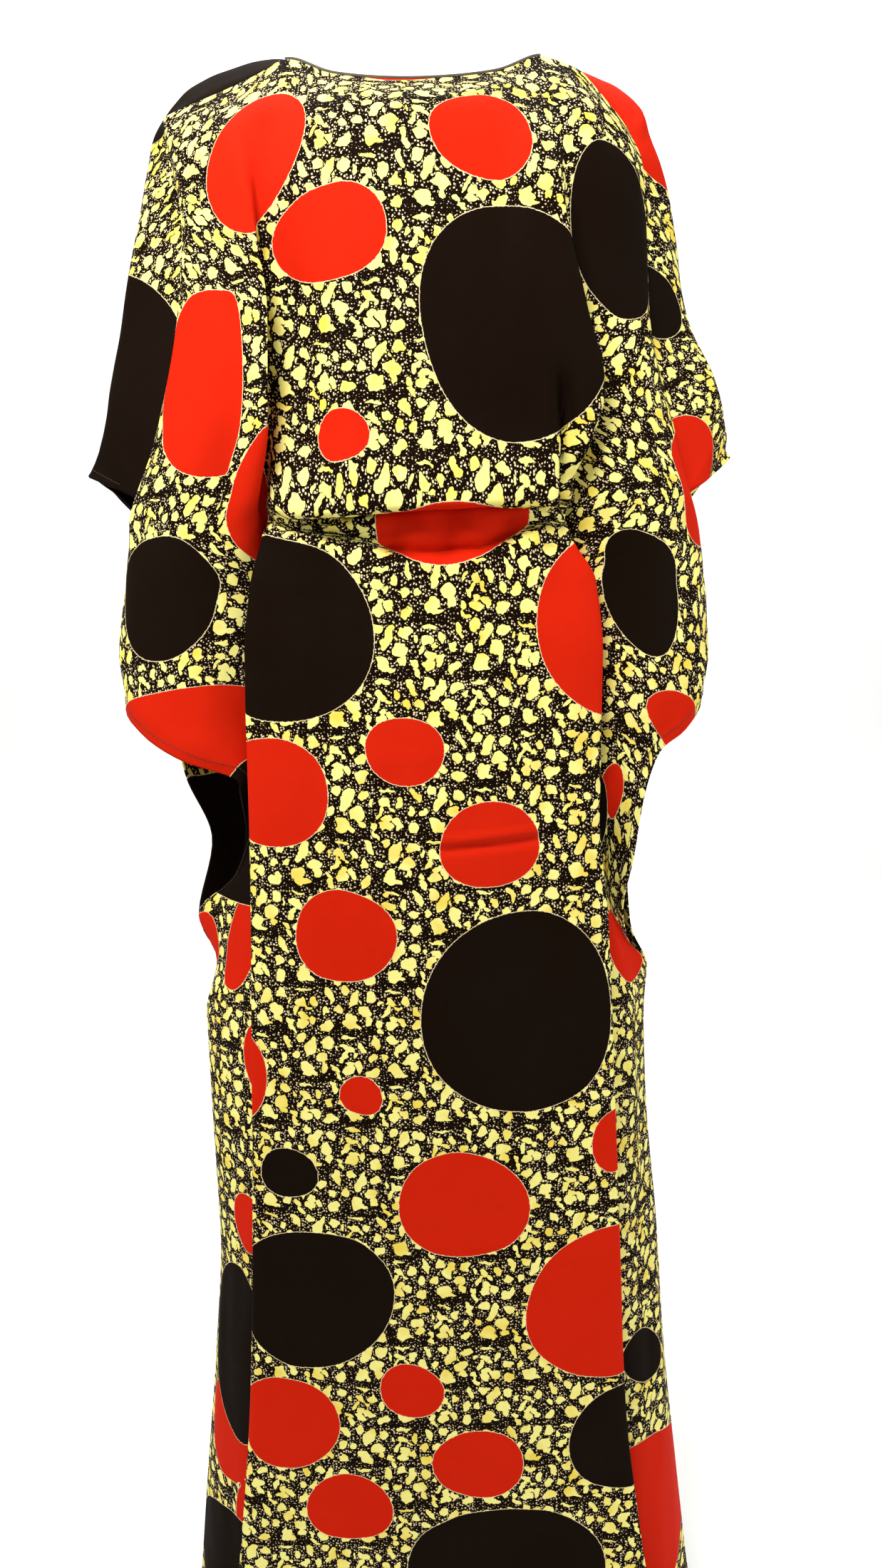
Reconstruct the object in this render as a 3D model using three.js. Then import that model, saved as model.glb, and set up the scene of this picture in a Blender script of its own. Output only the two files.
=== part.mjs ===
// Baati dress: two wide cotton panels joined over the shoulders and down the sides, butterfly
// sleeves cut in one with them, a boat neck with a narrow binding and a gathered waist.
// Millimetres. +X is the viewer's right, +Y runs from front to back, +Z is up. The origin lies
// at the middle of the neck, level with the highest points of the shoulder seams.
import * as THREE from 'three';

// ---- sizes -------------------------------------------------------------------------------
const WALL = 1.6;             // thickness of the modelled cloth
const SEAM_GAP = 0.3;         // clear space between neighbouring pieces
const SHOULDER_TURN = 4;      // columns over which the shoulder seam turns down over the arm
const SLIT_GAP = 1.6;         // the same where a seam ends at a sleeve opening
const LENGTH = 1460;          // shoulder to bottom hem
const WAIST = 376;            // middle of the gathered channel below the shoulder
const CHANNEL = 15;           // half the height of the channel
const CHANNEL_HALF = 122;     // from the middle to each end of the channel
const GATHERS = 11;           // gathers drawn up across the front of the waist
const GATHER_DEPTH = 2.6;     // crest to middle of one gather
const GATHER_DRIFT = 0.5;     // how unevenly the gathers are spaced, in radians of one gather
const DRIFT_LENGTH = 31;      // length over which their spacing changes
const FADE_ABOVE = 80;        // how far the gathers run up the body
const FADE_BELOW = 140;       // and down the skirt
const END_SHARPNESS = 6;      // how suddenly the channel ends beside the sleeves
const BINDING_TALL = 4;       // height of the neck binding
const BINDING_THICK = 2.6;    // thickness of the neck binding
const BINDING_STEPS = 96;     // steps round the neck binding
const NECK_GUIDE = 5;         // guide lines from each side edge to the point of the neck

// Levels of the cross rows, in mm of drop at the middle of the dress.
const LEVELS = [0, 16, 36, 64, 96, 130, 170, 210, 250, 290, 320, 342, 356, 366, 376, 387, 399, 415,
  440, 470, 500, 530, 565, 605, 650, 700, 745, 810, 910, 1040, 1180, 1320, LENGTH];

// How the cloth rolls over the waist channel: [level, forward, extra drop].
const WAIST_ROLL = [[300, 0, 0], [328, 2, 1], [342, 6, 5], [356, 9, 10], [366, -3, 3], [376, 1, 0],
  [387, -3, -1], [399, 4, -3], [415, 2.5, -1], [445, 0, 0]];
// The channel hangs lower toward its left end: [out from the middle, extra drop].
const CHANNEL_SAG = [[-130, 7], [-90, 5], [-30, 0], [60, 0], [120, 3]];

// ---- guide lines -------------------------------------------------------------------------
// One table for each line that runs from the top edge to the hem, a row for each station:
// [level, out from the middle, back (+) or forward (-), drop below the shoulder].
// A drop that is left out is the level itself.
const FRONT = {
  leftEdge: [[0, -200, -32, 52], [16, -199, -34, 60], [64, -195, -36, 88], [130, -187, -44, 138],
    [210, -196, -47], [290, -216, -47], [342, -231, -44, 346], [356, -236, -20, 362],
    [376, -240, 4, 390], [415, -247, 14, 440], [440, -253, 6, 478], [470, -250, -40, 516],
    [500, -222, -74, 530], [530, -186, -88, 548], [565, -154, -86, 571], [605, -158, -60, 616],
    [650, -176, -26, 676], [700, -217, 4, 722], [745, -202, 2, 765], [810, -214, 0, 818],
    [910, -214, 0], [1040, -213, 0], [1180, -224, 0], [1320, -240, 0], [LENGTH, -255, 0]],
  leftTurn: [[0, -191, -32, 48], [64, -188, -50, 84], [130, -182, -62, 135], [210, -192, -62],
    [290, -211, -64], [342, -238, -52, 347], [356, -245, -40, 362], [376, -251, -26, 388],
    [415, -259, -30, 436], [440, -262, -36, 470], [470, -244, -58, 502], [500, -210, -82, 520],
    [530, -176, -91, 540], [565, -150, -83, 567], [605, -154, -62, 611], [650, -170, -33, 668],
    [700, -205, -8, 716], [745, -196, -12, 759], [810, -208, -14, 816], [910, -208, -16],
    [1040, -206, -18], [1180, -216, -20], [1320, -231, -20], [LENGTH, -246, -20]],
  leftSleeve: [[0, -171, -31, 40], [64, -166, -62, 76], [130, -158, -82, 133], [210, -166, -90],
    [290, -182, -96], [342, -196, -92], [376, -202, -86, 378], [415, -206, -86, 419],
    [440, -205, -88, 448], [470, -198, -92, 480], [500, -182, -92, 507], [530, -162, -88, 533],
    [565, -146, -79, 564], [605, -149, -64, 606], [650, -162, -42, 657], [700, -184, -28, 706],
    [745, -182, -32, 750], [810, -190, -36], [910, -190, -40], [1040, -189, -42], [1180, -199, -46],
    [1320, -211, -46], [LENGTH, -224, -46]],
  leftCrest: [[0, -148, -30, 31], [64, -142, -72, 70], [130, -126, -102], [210, -113, -121],
    [290, -117, -124], [342, -129, -112], [376, -141, -98], [415, -152, -88], [470, -156, -86],
    [530, -148, -80], [565, -141, -74], [605, -143, -67], [650, -149, -55], [700, -160, -50],
    [810, -165, -56], [1040, -172, -58], [1180, -182, -60], [1320, -194, -62], [LENGTH, -204, -62]],
  leftValley: [[0, -126, -28, 21], [64, -124, -70, 66], [130, -122, -90], [210, -131, -93],
    [290, -134, -94], [342, -133, -86], [376, -124, -78], [415, -118, -78], [470, -122, -80],
    [605, -122, -76], [810, -134, -74], [1180, -153, -74], [LENGTH, -176, -78]],
  leftSide: [[0, -103, -22, 8], [64, -102, -67, 64], [130, -100, -92], [210, -98, -98],
    [290, -103, -100], [342, -117, -104], [376, -126, -98], [415, -138, -100], [470, -145, -104],
    [605, -148, -102], [810, -156, -97], [910, -160, -95], [1040, -167, -95], [1180, -176, -95],
    [1320, -191, -98], [LENGTH, -208, -100]],
  leftChest: [[0, -62, -52, 29], [64, -60, -86], [130, -58, -108], [210, -57, -119],
    [290, -60, -121], [342, -64, -120], [376, -64, -108], [415, -68, -113], [470, -72, -118],
    [605, -76, -120], [810, -80, -113], [1040, -84, -107], [1320, -94, -107], [LENGTH, -104, -112]],
  middle: [[0, -3, -66, 38], [64, -3, -94], [130, -3, -114], [210, -3, -125], [290, -3, -127],
    [342, -3, -125], [376, -2, -112], [415, -2, -117], [470, -2, -122], [605, 0, -125],
    [810, 1, -118], [1040, 1, -112], [1320, 1, -112], [LENGTH, 2, -114]],
  rightChest: [[0, 60, -52, 29], [64, 58, -86], [130, 58, -109], [210, 62, -121], [290, 66, -124],
    [342, 62, -121], [376, 60, -109], [415, 66, -113], [470, 70, -118], [605, 76, -119],
    [810, 80, -113], [1040, 86, -107], [1320, 96, -107], [LENGTH, 108, -112]],
  rightSide: [[0, 98, -22, 8], [64, 101, -70, 64], [130, 108, -104], [210, 125, -114],
    [270, 140, -113], [310, 128, -112], [342, 112, -108], [376, 115, -99], [415, 136, -100],
    [470, 143, -103], [530, 143, -101], [605, 143, -100], [700, 152, -98], [910, 163, -95],
    [1040, 169, -95], [1180, 177, -95], [1320, 193, -98], [LENGTH, 214, -102]],
  rightValley: [[0, 113, -26, 14], [64, 114, -66, 63], [130, 113, -87], [210, 114, -88],
    [290, 119, -88], [342, 120, -86], [376, 108, -80], [415, 112, -80], [470, 116, -80],
    [605, 118, -76], [810, 131, -74], [1180, 154, -74], [LENGTH, 180, -78]],
  rightCrest: [[0, 128, -29, 21], [64, 131, -66, 64], [130, 138, -80], [210, 143, -86],
    [290, 147, -92], [320, 148, -98], [342, 146, -98], [376, 140, -90], [415, 150, -86],
    [470, 156, -86], [530, 156, -84], [565, 153, -80], [605, 150, -74], [650, 150, -64],
    [700, 156, -54, 703], [745, 162, -50, 748], [810, 166, -54], [1040, 175, -58], [1180, 186, -58],
    [1320, 200, -60], [LENGTH, 214, -60]],
  rightSleeve: [[0, 143, -30, 36], [64, 148, -58, 73], [130, 158, -72, 133], [210, 163, -78],
    [290, 176, -82], [342, 187, -86], [376, 193, -84], [415, 198, -82, 420], [440, 199, -82, 450],
    [470, 196, -84, 484], [500, 188, -85, 514], [530, 177, -84, 541], [565, 167, -80, 576],
    [605, 161, -72, 622], [650, 158, -58, 673], [700, 165, -42, 722], [745, 178, -34, 761],
    [810, 184, -36, 813], [910, 187, -40], [1040, 192, -42], [1180, 204, -44], [1320, 219, -46],
    [LENGTH, 234, -46]],
  rightTurn: [[0, 156, -31, 51], [64, 166, -48, 82], [130, 174, -56, 136], [210, 181, -58],
    [290, 200, -60], [342, 220, -54, 346], [356, 228, -42, 362], [376, 235, -26, 388],
    [415, 241, -30, 438], [440, 242, -40, 474], [470, 234, -56, 503], [500, 213, -70, 530],
    [530, 191, -78, 551], [565, 179, -80, 585], [605, 172, -74, 637], [650, 166, -56, 688],
    [700, 176, -28, 738], [745, 194, -12, 771], [810, 194, -16, 817], [910, 198, -16],
    [1040, 210, -18], [1180, 222, -20], [1320, 238, -20], [LENGTH, 252, -20]],
  rightEdge: [[0, 166, -31, 63], [64, 178, -36, 92], [130, 181, -42, 140], [210, 185, -45],
    [290, 206, -45], [342, 219, -42, 346], [356, 222, -20, 362], [376, 225, 4, 390],
    [415, 231, 12, 442], [440, 235, 2, 480], [470, 238, -36, 515], [500, 220, -62, 541],
    [530, 197, -74, 557], [565, 184, -80, 592], [605, 177, -75, 646], [650, 171, -56, 697],
    [700, 183, -20, 746], [745, 203, 0, 776], [810, 201, 0, 818], [910, 205, 0], [1040, 218, 0],
    [1180, 229, 0], [1320, 245, 0], [LENGTH, 262, 0]],
};

const BACK = {
  leftEdge: [[0, -200, -32, 52], [16, -199, -34, 60], [64, -195, -36, 88], [130, -187, -44, 138],
    [210, -196, -47], [290, -216, -47], [342, -231, -44, 346], [356, -256, -21, 337],
    [376, -291, 6, 320], [399, -274, 32, 350], [440, -258, 60, 412], [500, -248, 70, 480],
    [565, -240, 52, 548], [605, -226, 26, 594], [650, -201, 8, 650], [700, -217, 4, 722],
    [745, -202, 2, 765], [810, -214, 0, 818], [910, -214, 0], [1040, -213, 0], [1180, -224, 0],
    [1320, -240, 0], [LENGTH, -255, 0]],
  leftTurn: [[0, -191, -32, 48], [16, -202, -14, 48], [36, -213, -8, 58], [64, -221, -6, 82],
    [130, -235, -4, 135], [210, -252, -2, 206], [290, -266, 0, 254], [320, -270, 2, 272],
    [342, -274, 4, 286], [356, -279, 7, 300], [376, -281, 16, 320], [399, -264, 42, 356],
    [440, -248, 64, 424], [500, -240, 72, 490], [565, -229, 60, 558], [605, -213, 40, 604],
    [650, -193, 24, 653], [700, -200, 16, 716], [745, -192, 14, 759], [810, -203, 16, 817],
    [1040, -203, 18], [1320, -228, 20], [LENGTH, -244, 22]],
  leftSleeve: [[0, -171, -31, 40], [16, -183, 0, 20], [36, -196, 16, 40], [64, -204, 28, 72],
    [130, -216, 46], [210, -230, 58], [342, -238, 72], [440, -222, 84], [565, -196, 80],
    [700, -176, 50], [810, -179, 46], [1040, -184, 50], [1320, -206, 54], [LENGTH, -220, 56]],
  leftCrest: [[0, -137, -29, 26], [16, -146, 4, 4], [36, -156, 34, 28], [64, -164, 56, 60],
    [130, -174, 78], [210, -182, 88], [342, -180, 92], [440, -170, 100], [565, -158, 102],
    [810, -150, 88], [1180, -158, 84], [LENGTH, -186, 88]],
  leftValley: [[0, -120, -27, 18], [16, -122, 4, -1], [36, -124, 38, 24], [64, -126, 60, 58],
    [130, -132, 76], [210, -136, 82], [342, -128, 70], [440, -129, 84], [565, -127, 92],
    [810, -122, 86], [1180, -134, 78], [LENGTH, -158, 78]],
  leftSide: [[0, -103, -22, 8], [16, -99, 10, 1], [36, -94, 46, 26], [64, -92, 68, 62],
    [130, -96, 86], [210, -96, 92], [342, -88, 78], [376, -86, 72], [440, -94, 88], [565, -98, 106],
    [810, -98, 108], [1180, -106, 100], [LENGTH, -126, 104]],
  leftBlade: [[0, -72, 34, 2], [36, -58, 62, 32], [64, -54, 78], [130, -52, 94], [210, -52, 97],
    [342, -48, 82], [376, -46, 74], [440, -50, 91], [565, -52, 112], [810, -52, 114],
    [1180, -56, 106], [LENGTH, -66, 110]],
  middle: [[0, 0, 62, 14], [36, 0, 78, 44], [64, 0, 88, 66], [130, 0, 98], [210, 0, 98],
    [290, 0, 91], [342, 0, 83], [376, 0, 75], [440, 0, 92], [565, 0, 114], [810, 0, 116],
    [1180, 0, 108], [LENGTH, 0, 112]],
  rightBlade: [[0, 70, 34, 2], [36, 56, 62, 32], [64, 54, 78], [130, 53, 94], [210, 53, 97],
    [342, 49, 82], [376, 47, 74], [440, 51, 91], [565, 53, 112], [810, 54, 114], [1180, 58, 106],
    [LENGTH, 70, 110]],
  rightSide: [[0, 98, -22, 8], [16, 96, 10, 2], [36, 92, 46, 27], [64, 92, 68, 62], [130, 96, 86],
    [210, 98, 92], [342, 90, 78], [376, 87, 72], [440, 96, 88], [565, 100, 106], [810, 101, 108],
    [1180, 110, 100], [LENGTH, 132, 104]],
  rightValley: [[0, 109, -25, 12], [16, 113, 2, 4], [36, 118, 36, 30], [64, 122, 58, 62],
    [130, 129, 76], [210, 135, 82], [342, 129, 70], [440, 131, 84], [565, 129, 92], [810, 125, 86],
    [1180, 138, 78], [LENGTH, 164, 78]],
  rightCrest: [[0, 121, -28, 18], [16, 130, 2, 11], [36, 146, 32, 36], [64, 154, 54, 66],
    [130, 166, 76], [210, 174, 88], [342, 178, 92], [440, 168, 100], [565, 157, 102],
    [810, 151, 88], [1180, 162, 84], [LENGTH, 192, 88]],
  rightSleeve: [[0, 143, -30, 36], [16, 161, -2, 24], [36, 177, 14, 50], [64, 186, 26, 80],
    [130, 198, 44], [210, 208, 58], [342, 222, 72], [440, 212, 84], [565, 186, 80], [700, 172, 52],
    [810, 177, 46], [1040, 190, 50], [1320, 214, 54], [LENGTH, 230, 56]],
  rightTurn: [[0, 156, -31, 51], [16, 180, -12, 46], [36, 188, -8, 62], [64, 197, -8, 86],
    [130, 211, -6, 136], [210, 226, -4, 206], [290, 250, 0, 254], [320, 256, 2, 272],
    [342, 261, 4, 284], [356, 265, 7, 296], [376, 264, 14, 316], [399, 246, 40, 354],
    [440, 234, 60, 424], [500, 222, 70, 490], [565, 200, 60, 562], [605, 188, 44, 612],
    [650, 180, 30, 668], [700, 180, 18, 730], [745, 190, 14, 770], [810, 192, 16, 817],
    [1040, 208, 18], [1320, 236, 20], [LENGTH, 252, 22]],
  rightEdge: [[0, 166, -31, 63], [64, 178, -36, 92], [130, 181, -42, 140], [210, 185, -45],
    [290, 206, -45], [342, 219, -42, 346], [356, 241, -21, 334], [376, 273, 5, 313],
    [399, 256, 30, 348], [440, 241, 58, 410], [500, 230, 68, 480], [565, 208, 52, 554],
    [605, 193, 32, 608], [650, 184, 18, 668], [700, 188, 8, 738], [745, 203, 0, 776],
    [810, 201, 0, 818], [910, 205, 0], [1040, 218, 0], [1180, 229, 0], [1320, 245, 0],
    [LENGTH, 262, 0]],
};

// Columns of the mesh between one guide line and the next, from the left edge to the right.
const FRONT_STEPS = [2, 4, 5, 4, 4, 7, 7, 7, 7, 4, 4, 5, 4, 2];
const BACK_STEPS = [4, 4, 4, 3, 3, 4, 4, 4, 4, 3, 3, 4, 4, 4];
// First and last level of the open sleeve ends: the side seams start below them.
const OPEN_FROM = 345;
const OPEN_TO = { left: 699, right: 744 };

// ---- curves ------------------------------------------------------------------------------
// A smooth value through stations that never swings past its neighbours.
function through(levels, values, at) {
  const last = levels.length - 1;
  if (at <= levels[0]) return values[0];
  if (at >= levels[last]) return values[last];
  let k = 0;
  while (levels[k + 1] < at) k += 1;
  const rise = (i) => (values[i + 1] - values[i]) / (levels[i + 1] - levels[i]);
  const lean = (i) => {
    if (i === 0) return rise(0);
    if (i === last) return rise(last - 1);
    const before = rise(i - 1);
    const after = rise(i);
    return before * after <= 0 ? 0 : (2 * before * after) / (before + after);
  };
  const span = levels[k + 1] - levels[k];
  const t = (at - levels[k]) / span;
  const a = values[k] + t * t * (3 - 2 * t) * (values[k + 1] - values[k]);
  return a + span * t * (1 - t) * ((1 - t) * lean(k) - t * lean(k + 1));
}

function guidePoint(table, level) {
  const levels = table.map((row) => row[0]);
  const column = (k) => through(levels, table.map((row) => row[k] ?? row[0]), level);
  return new THREE.Vector3(column(1), column(2), -column(3));
}

// Points along a curve through the guide points, `steps[k]` of them in span k.
function across(points, steps) {
  const curve = new THREE.CatmullRomCurve3(points, false, 'centripetal');
  const out = [];
  steps.forEach((count, k) => {
    for (let i = 0; i < count; i += 1) out.push(curve.getPoint((k + i / count) / steps.length));
  });
  out.push(points[points.length - 1].clone());
  return out;
}

// How strongly the waist is drawn up at a level: 1 in the channel, fading above and below.
function drawnUp(level) {
  const away = Math.abs(level - WAIST);
  const reach = level < WAIST ? FADE_ABOVE : FADE_BELOW;
  return away < CHANNEL ? 1 : Math.max(0, 1 - (away - CHANNEL) / reach) ** 2;
}

const column = (table, k) => table.map((row) => row[k]);

// The gathered waist: small gathers across the channel, cloth rolled over it above and below.
function gathered(point, level, facing) {
  const inside = Math.max(0, 1 - (point.x / CHANNEL_HALF) ** END_SHARPNESS);
  const drift = GATHER_DRIFT * Math.sin(point.x / DRIFT_LENGTH);
  const wave = Math.cos((point.x / CHANNEL_HALF) * Math.PI * (GATHERS / 2) + drift);
  const levels = column(WAIST_ROLL, 0);
  const forward = through(levels, column(WAIST_ROLL, 1), level);
  const drop = through(levels, column(WAIST_ROLL, 2), level);
  const sag = through(column(CHANNEL_SAG, 0), column(CHANNEL_SAG, 1), point.x);
  point.y += facing * inside * (GATHER_DEPTH * wave * drawnUp(level) + forward);
  point.z -= inside * (drop + sag * drawnUp(level));
  return point;
}

// First and last column of the neckline; the shoulder seams run outside them.
function neckColumns(steps) {
  const sum = (list) => list.reduce((a, b) => a + b, 0);
  return [sum(steps.slice(0, NECK_GUIDE)), sum(steps) - sum(steps.slice(-NECK_GUIDE))];
}

function panelGrid(guides, steps, facing) {
  const tables = Object.values(guides);
  return LEVELS.map((level) => {
    const points = tables.map((table) => guidePoint(table, level));
    return across(points, steps).map((p) => gathered(p, level, facing));
  });
}

// ---- cloth wall --------------------------------------------------------------------------
function gridNormal(grid, r, c, facing) {
  const up = grid[Math.max(r - 1, 0)][c];
  const down = grid[Math.min(r + 1, grid.length - 1)][c];
  const left = grid[r][Math.max(c - 1, 0)];
  const right = grid[r][Math.min(c + 1, grid[r].length - 1)];
  const n = new THREE.Vector3().crossVectors(right.clone().sub(left), up.clone().sub(down));
  return n.normalize().multiplyScalar(-facing);
}

// Along a sewn edge both panels end in faces square to Y, half the seam gap apart.
function seamNormal(grid, r, c, alongRow) {
  const rowStep = alongRow
    ? grid[r][Math.min(c + 1, grid[r].length - 1)].clone().sub(grid[r][Math.max(c - 1, 0)])
    : grid[Math.min(r + 1, grid.length - 1)][c].clone().sub(grid[Math.max(r - 1, 0)][c]);
  const n = new THREE.Vector3(-rowStep.z, 0, rowStep.x).normalize();
  const outward = alongRow ? n.z : n.x * grid[r][c].x;
  return outward < 0 ? n.negate() : n;
}

function isSewn(level, side) {
  return level < OPEN_FROM || level > OPEN_TO[side];
}

// The seam gap at row r, wider in the last sewn row beside a sleeve opening.
function seamGap(r, side) {
  const beside = [r - 1, r + 1].filter((k) => k >= 0 && k < LEVELS.length);
  return beside.some((k) => !isSewn(LEVELS[k], side)) ? SLIT_GAP : SEAM_GAP;
}

function wallOffsets(grid, steps, facing) {
  const [neckFrom, neckTo] = neckColumns(steps);
  const lastCol = grid[0].length - 1;
  return grid.map((row, r) => row.map((_, c) => {
    const side = c < lastCol / 2 ? 'left' : 'right';
    const onSide = (c === 0 || c === lastCol) && isSewn(LEVELS[r], side);
    const onShoulder = r === 0 && (c <= neckFrom || c >= neckTo);
    if (onShoulder) {
      // The shoulder seam turns smoothly into the seam over the arm at its outer end.
      const end = c < lastCol / 2 ? 0 : lastCol;
      const turn = Math.max(0, 1 - Math.abs(c - end) / SHOULDER_TURN);
      const over = seamNormal(grid, 0, end, false).multiplyScalar(turn);
      const n = seamNormal(grid, 0, c, true).multiplyScalar(1 - turn / 2).add(over).normalize();
      return { n, gap: SEAM_GAP };
    }
    if (onSide) return { n: seamNormal(grid, r, c, false), gap: seamGap(r, side) };
    return { n: gridNormal(grid, r, c, facing), gap: 0 };
  }));
}

// A closed wall: outer face, inner face and the strip that closes all four edges.
function clothWall(grid, steps, facing) {
  const rows = grid.length;
  const cols = grid[0].length;
  const offsets = wallOffsets(grid, steps, facing);
  const positions = [];
  [0.5, -0.5].forEach((half) => grid.forEach((row, r) => row.forEach((point, c) => {
    const { n, gap } = offsets[r][c];
    const p = point.clone().addScaledVector(n, half * WALL);
    if (gap) p.y = point.y + (facing * gap) / 2;
    positions.push(p.x, p.y, p.z);
  })));
  const id = (layer, r, c) => layer * rows * cols + r * cols + c;
  const index = [];
  const quad = (a, b, c, d) => index.push(a, b, c, a, c, d);
  const flip = facing > 0;
  for (let r = 0; r < rows - 1; r += 1) {
    for (let c = 0; c < cols - 1; c += 1) {
      const outer = [id(0, r, c), id(0, r + 1, c), id(0, r + 1, c + 1), id(0, r, c + 1)];
      const inner = [id(1, r, c), id(1, r, c + 1), id(1, r + 1, c + 1), id(1, r + 1, c)];
      quad(...(flip ? outer.reverse() : outer));
      quad(...(flip ? inner.reverse() : inner));
    }
  }
  const rim = [];
  for (let c = 0; c < cols - 1; c += 1) rim.push([0, c]);
  for (let r = 0; r < rows - 1; r += 1) rim.push([r, cols - 1]);
  for (let c = cols - 1; c > 0; c -= 1) rim.push([rows - 1, c]);
  for (let r = rows - 1; r > 0; r -= 1) rim.push([r, 0]);
  rim.forEach(([r, c], i) => {
    const [r2, c2] = rim[(i + 1) % rim.length];
    const strip = [id(0, r, c), id(0, r2, c2), id(1, r2, c2), id(1, r, c)];
    quad(...(flip ? strip.reverse() : strip));
  });
  const geometry = new THREE.BufferGeometry();
  geometry.setAttribute('position', new THREE.Float32BufferAttribute(positions, 3));
  geometry.setIndex(index);
  geometry.computeVertexNormals();
  return geometry;
}

// ---- neck binding ------------------------------------------------------------------------
function bindingGeometry(frontGrid, backGrid) {
  const [from, to] = neckColumns(FRONT_STEPS);
  const [backFrom, backTo] = neckColumns(BACK_STEPS);
  const backEdge = backGrid[0].slice(backFrom + 1, backTo).reverse();
  const ring = [...frontGrid[0].slice(from, to + 1), ...backEdge];
  const loop = new THREE.CatmullRomCurve3(ring, true, 'centripetal');
  const count = BINDING_STEPS;
  const positions = [];
  const corners = [[-0.5, 0], [0.5, 0], [0.5, 1], [-0.5, 1]];
  for (let i = 0; i < count; i += 1) {
    const at = loop.getPointAt(i / count);
    const out = new THREE.Vector3(at.x, at.y, 0).normalize();
    corners.forEach(([side, tall]) => {
      const p = at.clone().addScaledVector(out, side * BINDING_THICK);
      positions.push(p.x, p.y, at.z + SEAM_GAP + WALL / 2 + tall * BINDING_TALL);
    });
  }
  const index = [];
  for (let i = 0; i < count; i += 1) {
    const next = (i + 1) % count;
    for (let k = 0; k < 4; k += 1) {
      const a = i * 4 + k;
      const b = i * 4 + ((k + 1) % 4);
      const c = next * 4 + ((k + 1) % 4);
      const d = next * 4 + k;
      index.push(a, c, b, a, d, c);
    }
  }
  const geometry = new THREE.BufferGeometry();
  geometry.setAttribute('position', new THREE.Float32BufferAttribute(positions, 3));
  geometry.setIndex(index);
  geometry.computeVertexNormals();
  return geometry;
}

function clothMesh(name, geometry, colour, roughness) {
  const material = new THREE.MeshStandardMaterial({ color: colour, roughness, metalness: 0 });
  const mesh = new THREE.Mesh(geometry, material);
  mesh.name = name;
  return mesh;
}

// The back panel meets the front along the shoulders: its top row is moved onto the same line.
function shareShoulders(front, back) {
  const line = front[0];
  const [neckFrom, neckTo] = neckColumns(BACK_STEPS);
  back[0].forEach((p, c) => {
    if (c > neckFrom && c < neckTo) return;
    const k = Math.max(1, line.findIndex((q) => q.x >= p.x - 1e-6));
    const [a, b] = [line[k - 1], line[k]];
    p.lerpVectors(a, b, Math.min(1, Math.max(0, (p.x - a.x) / (b.x - a.x))));
  });
}

const frontGrid = panelGrid(FRONT, FRONT_STEPS, -1);
const backGrid = panelGrid(BACK, BACK_STEPS, 1);
shareShoulders(frontGrid, backGrid);
const dress = new THREE.Group();
dress.name = 'baati_dress';
dress.add(clothMesh('front_panel', clothWall(frontGrid, FRONT_STEPS, -1), '#b9a83a', 0.85));
dress.add(clothMesh('back_panel', clothWall(backGrid, BACK_STEPS, 1), '#a99a34', 0.85));
dress.add(clothMesh('neck_binding', bindingGeometry(frontGrid, backGrid), '#2a2620', 0.8));

export default dress;
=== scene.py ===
# %% [markdown]
# # A baati dress, worn
# A baati is a long loose cotton dress: two wide panels joined over the shoulders and down the sides,
# with the sleeves cut in one with them, so that they fall like wings from the arms. The cloth is a
# printed cotton, thin and matt. The solids of the part hold its true shape, and this script gives it
# the looks: fine folds, the print, the weave, the hems and their stitches.

# %% Load the frame and keep its box
import math

import bpy
import numpy as np
from mathutils import Matrix


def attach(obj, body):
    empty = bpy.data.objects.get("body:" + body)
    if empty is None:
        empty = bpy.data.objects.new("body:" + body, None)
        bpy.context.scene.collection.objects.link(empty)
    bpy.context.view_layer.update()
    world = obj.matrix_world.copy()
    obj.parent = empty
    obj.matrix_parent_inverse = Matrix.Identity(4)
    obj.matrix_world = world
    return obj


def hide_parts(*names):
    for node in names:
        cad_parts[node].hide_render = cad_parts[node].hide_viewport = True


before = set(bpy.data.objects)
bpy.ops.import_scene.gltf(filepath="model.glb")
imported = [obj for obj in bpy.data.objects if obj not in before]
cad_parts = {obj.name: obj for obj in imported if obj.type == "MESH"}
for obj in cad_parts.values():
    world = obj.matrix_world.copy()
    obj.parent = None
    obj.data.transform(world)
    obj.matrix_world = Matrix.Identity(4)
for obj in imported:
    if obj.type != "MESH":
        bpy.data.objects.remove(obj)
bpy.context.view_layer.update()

MM = 0.001


# %% Helpers for new objects
def put(name, data):
    """A new object in the scene."""
    made = bpy.data.objects.new(name, data)
    bpy.context.scene.collection.objects.link(made)
    return made


def mesh_object(name, points, faces):
    """A smooth mesh of those points and faces, in the scene."""
    mesh = bpy.data.meshes.new(name)
    mesh.from_pydata(points, [], faces)
    mesh.shade_smooth()
    return put(name, mesh)



# %% [markdown]
# ## Where the camera stands
# The dress is seen from a little over a metre away, from about elbow height and slightly downward, so
# the top edge is seen from below and the lower skirt runs away from the eye. A close camera with a
# short lens gives that. It could be placed by eye, but a height, a distance and a tilt are easier to
# read, and the camera leans by less than a degree.

# %% The camera
CAMERA_SIDE = 0.012
CAMERA_DISTANCE = 1.05
CAMERA_DROP = 0.376
CAMERA_TILT = math.radians(12)
CAMERA_LEAN = math.radians(-0.8)
SENSOR_HEIGHT = 24.0
LENS = 18.0


def add_camera():
    """A camera in front of the dress, looking along +Y and a little down."""
    data = bpy.data.cameras.new("camera")
    data.sensor_fit = "VERTICAL"
    data.sensor_height = SENSOR_HEIGHT
    data.lens = LENS
    camera = put("camera", data)
    turn = Matrix.Rotation(math.pi / 2 - CAMERA_TILT, 4, "X") @ Matrix.Rotation(CAMERA_LEAN, 4, "Z")
    camera.matrix_world = Matrix.Translation((CAMERA_SIDE, -CAMERA_DISTANCE, -CAMERA_DROP)) @ turn
    bpy.context.scene.camera = camera
    return camera


print("camera at", tuple(round(x, 3) for x in add_camera().matrix_world.translation))

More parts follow.
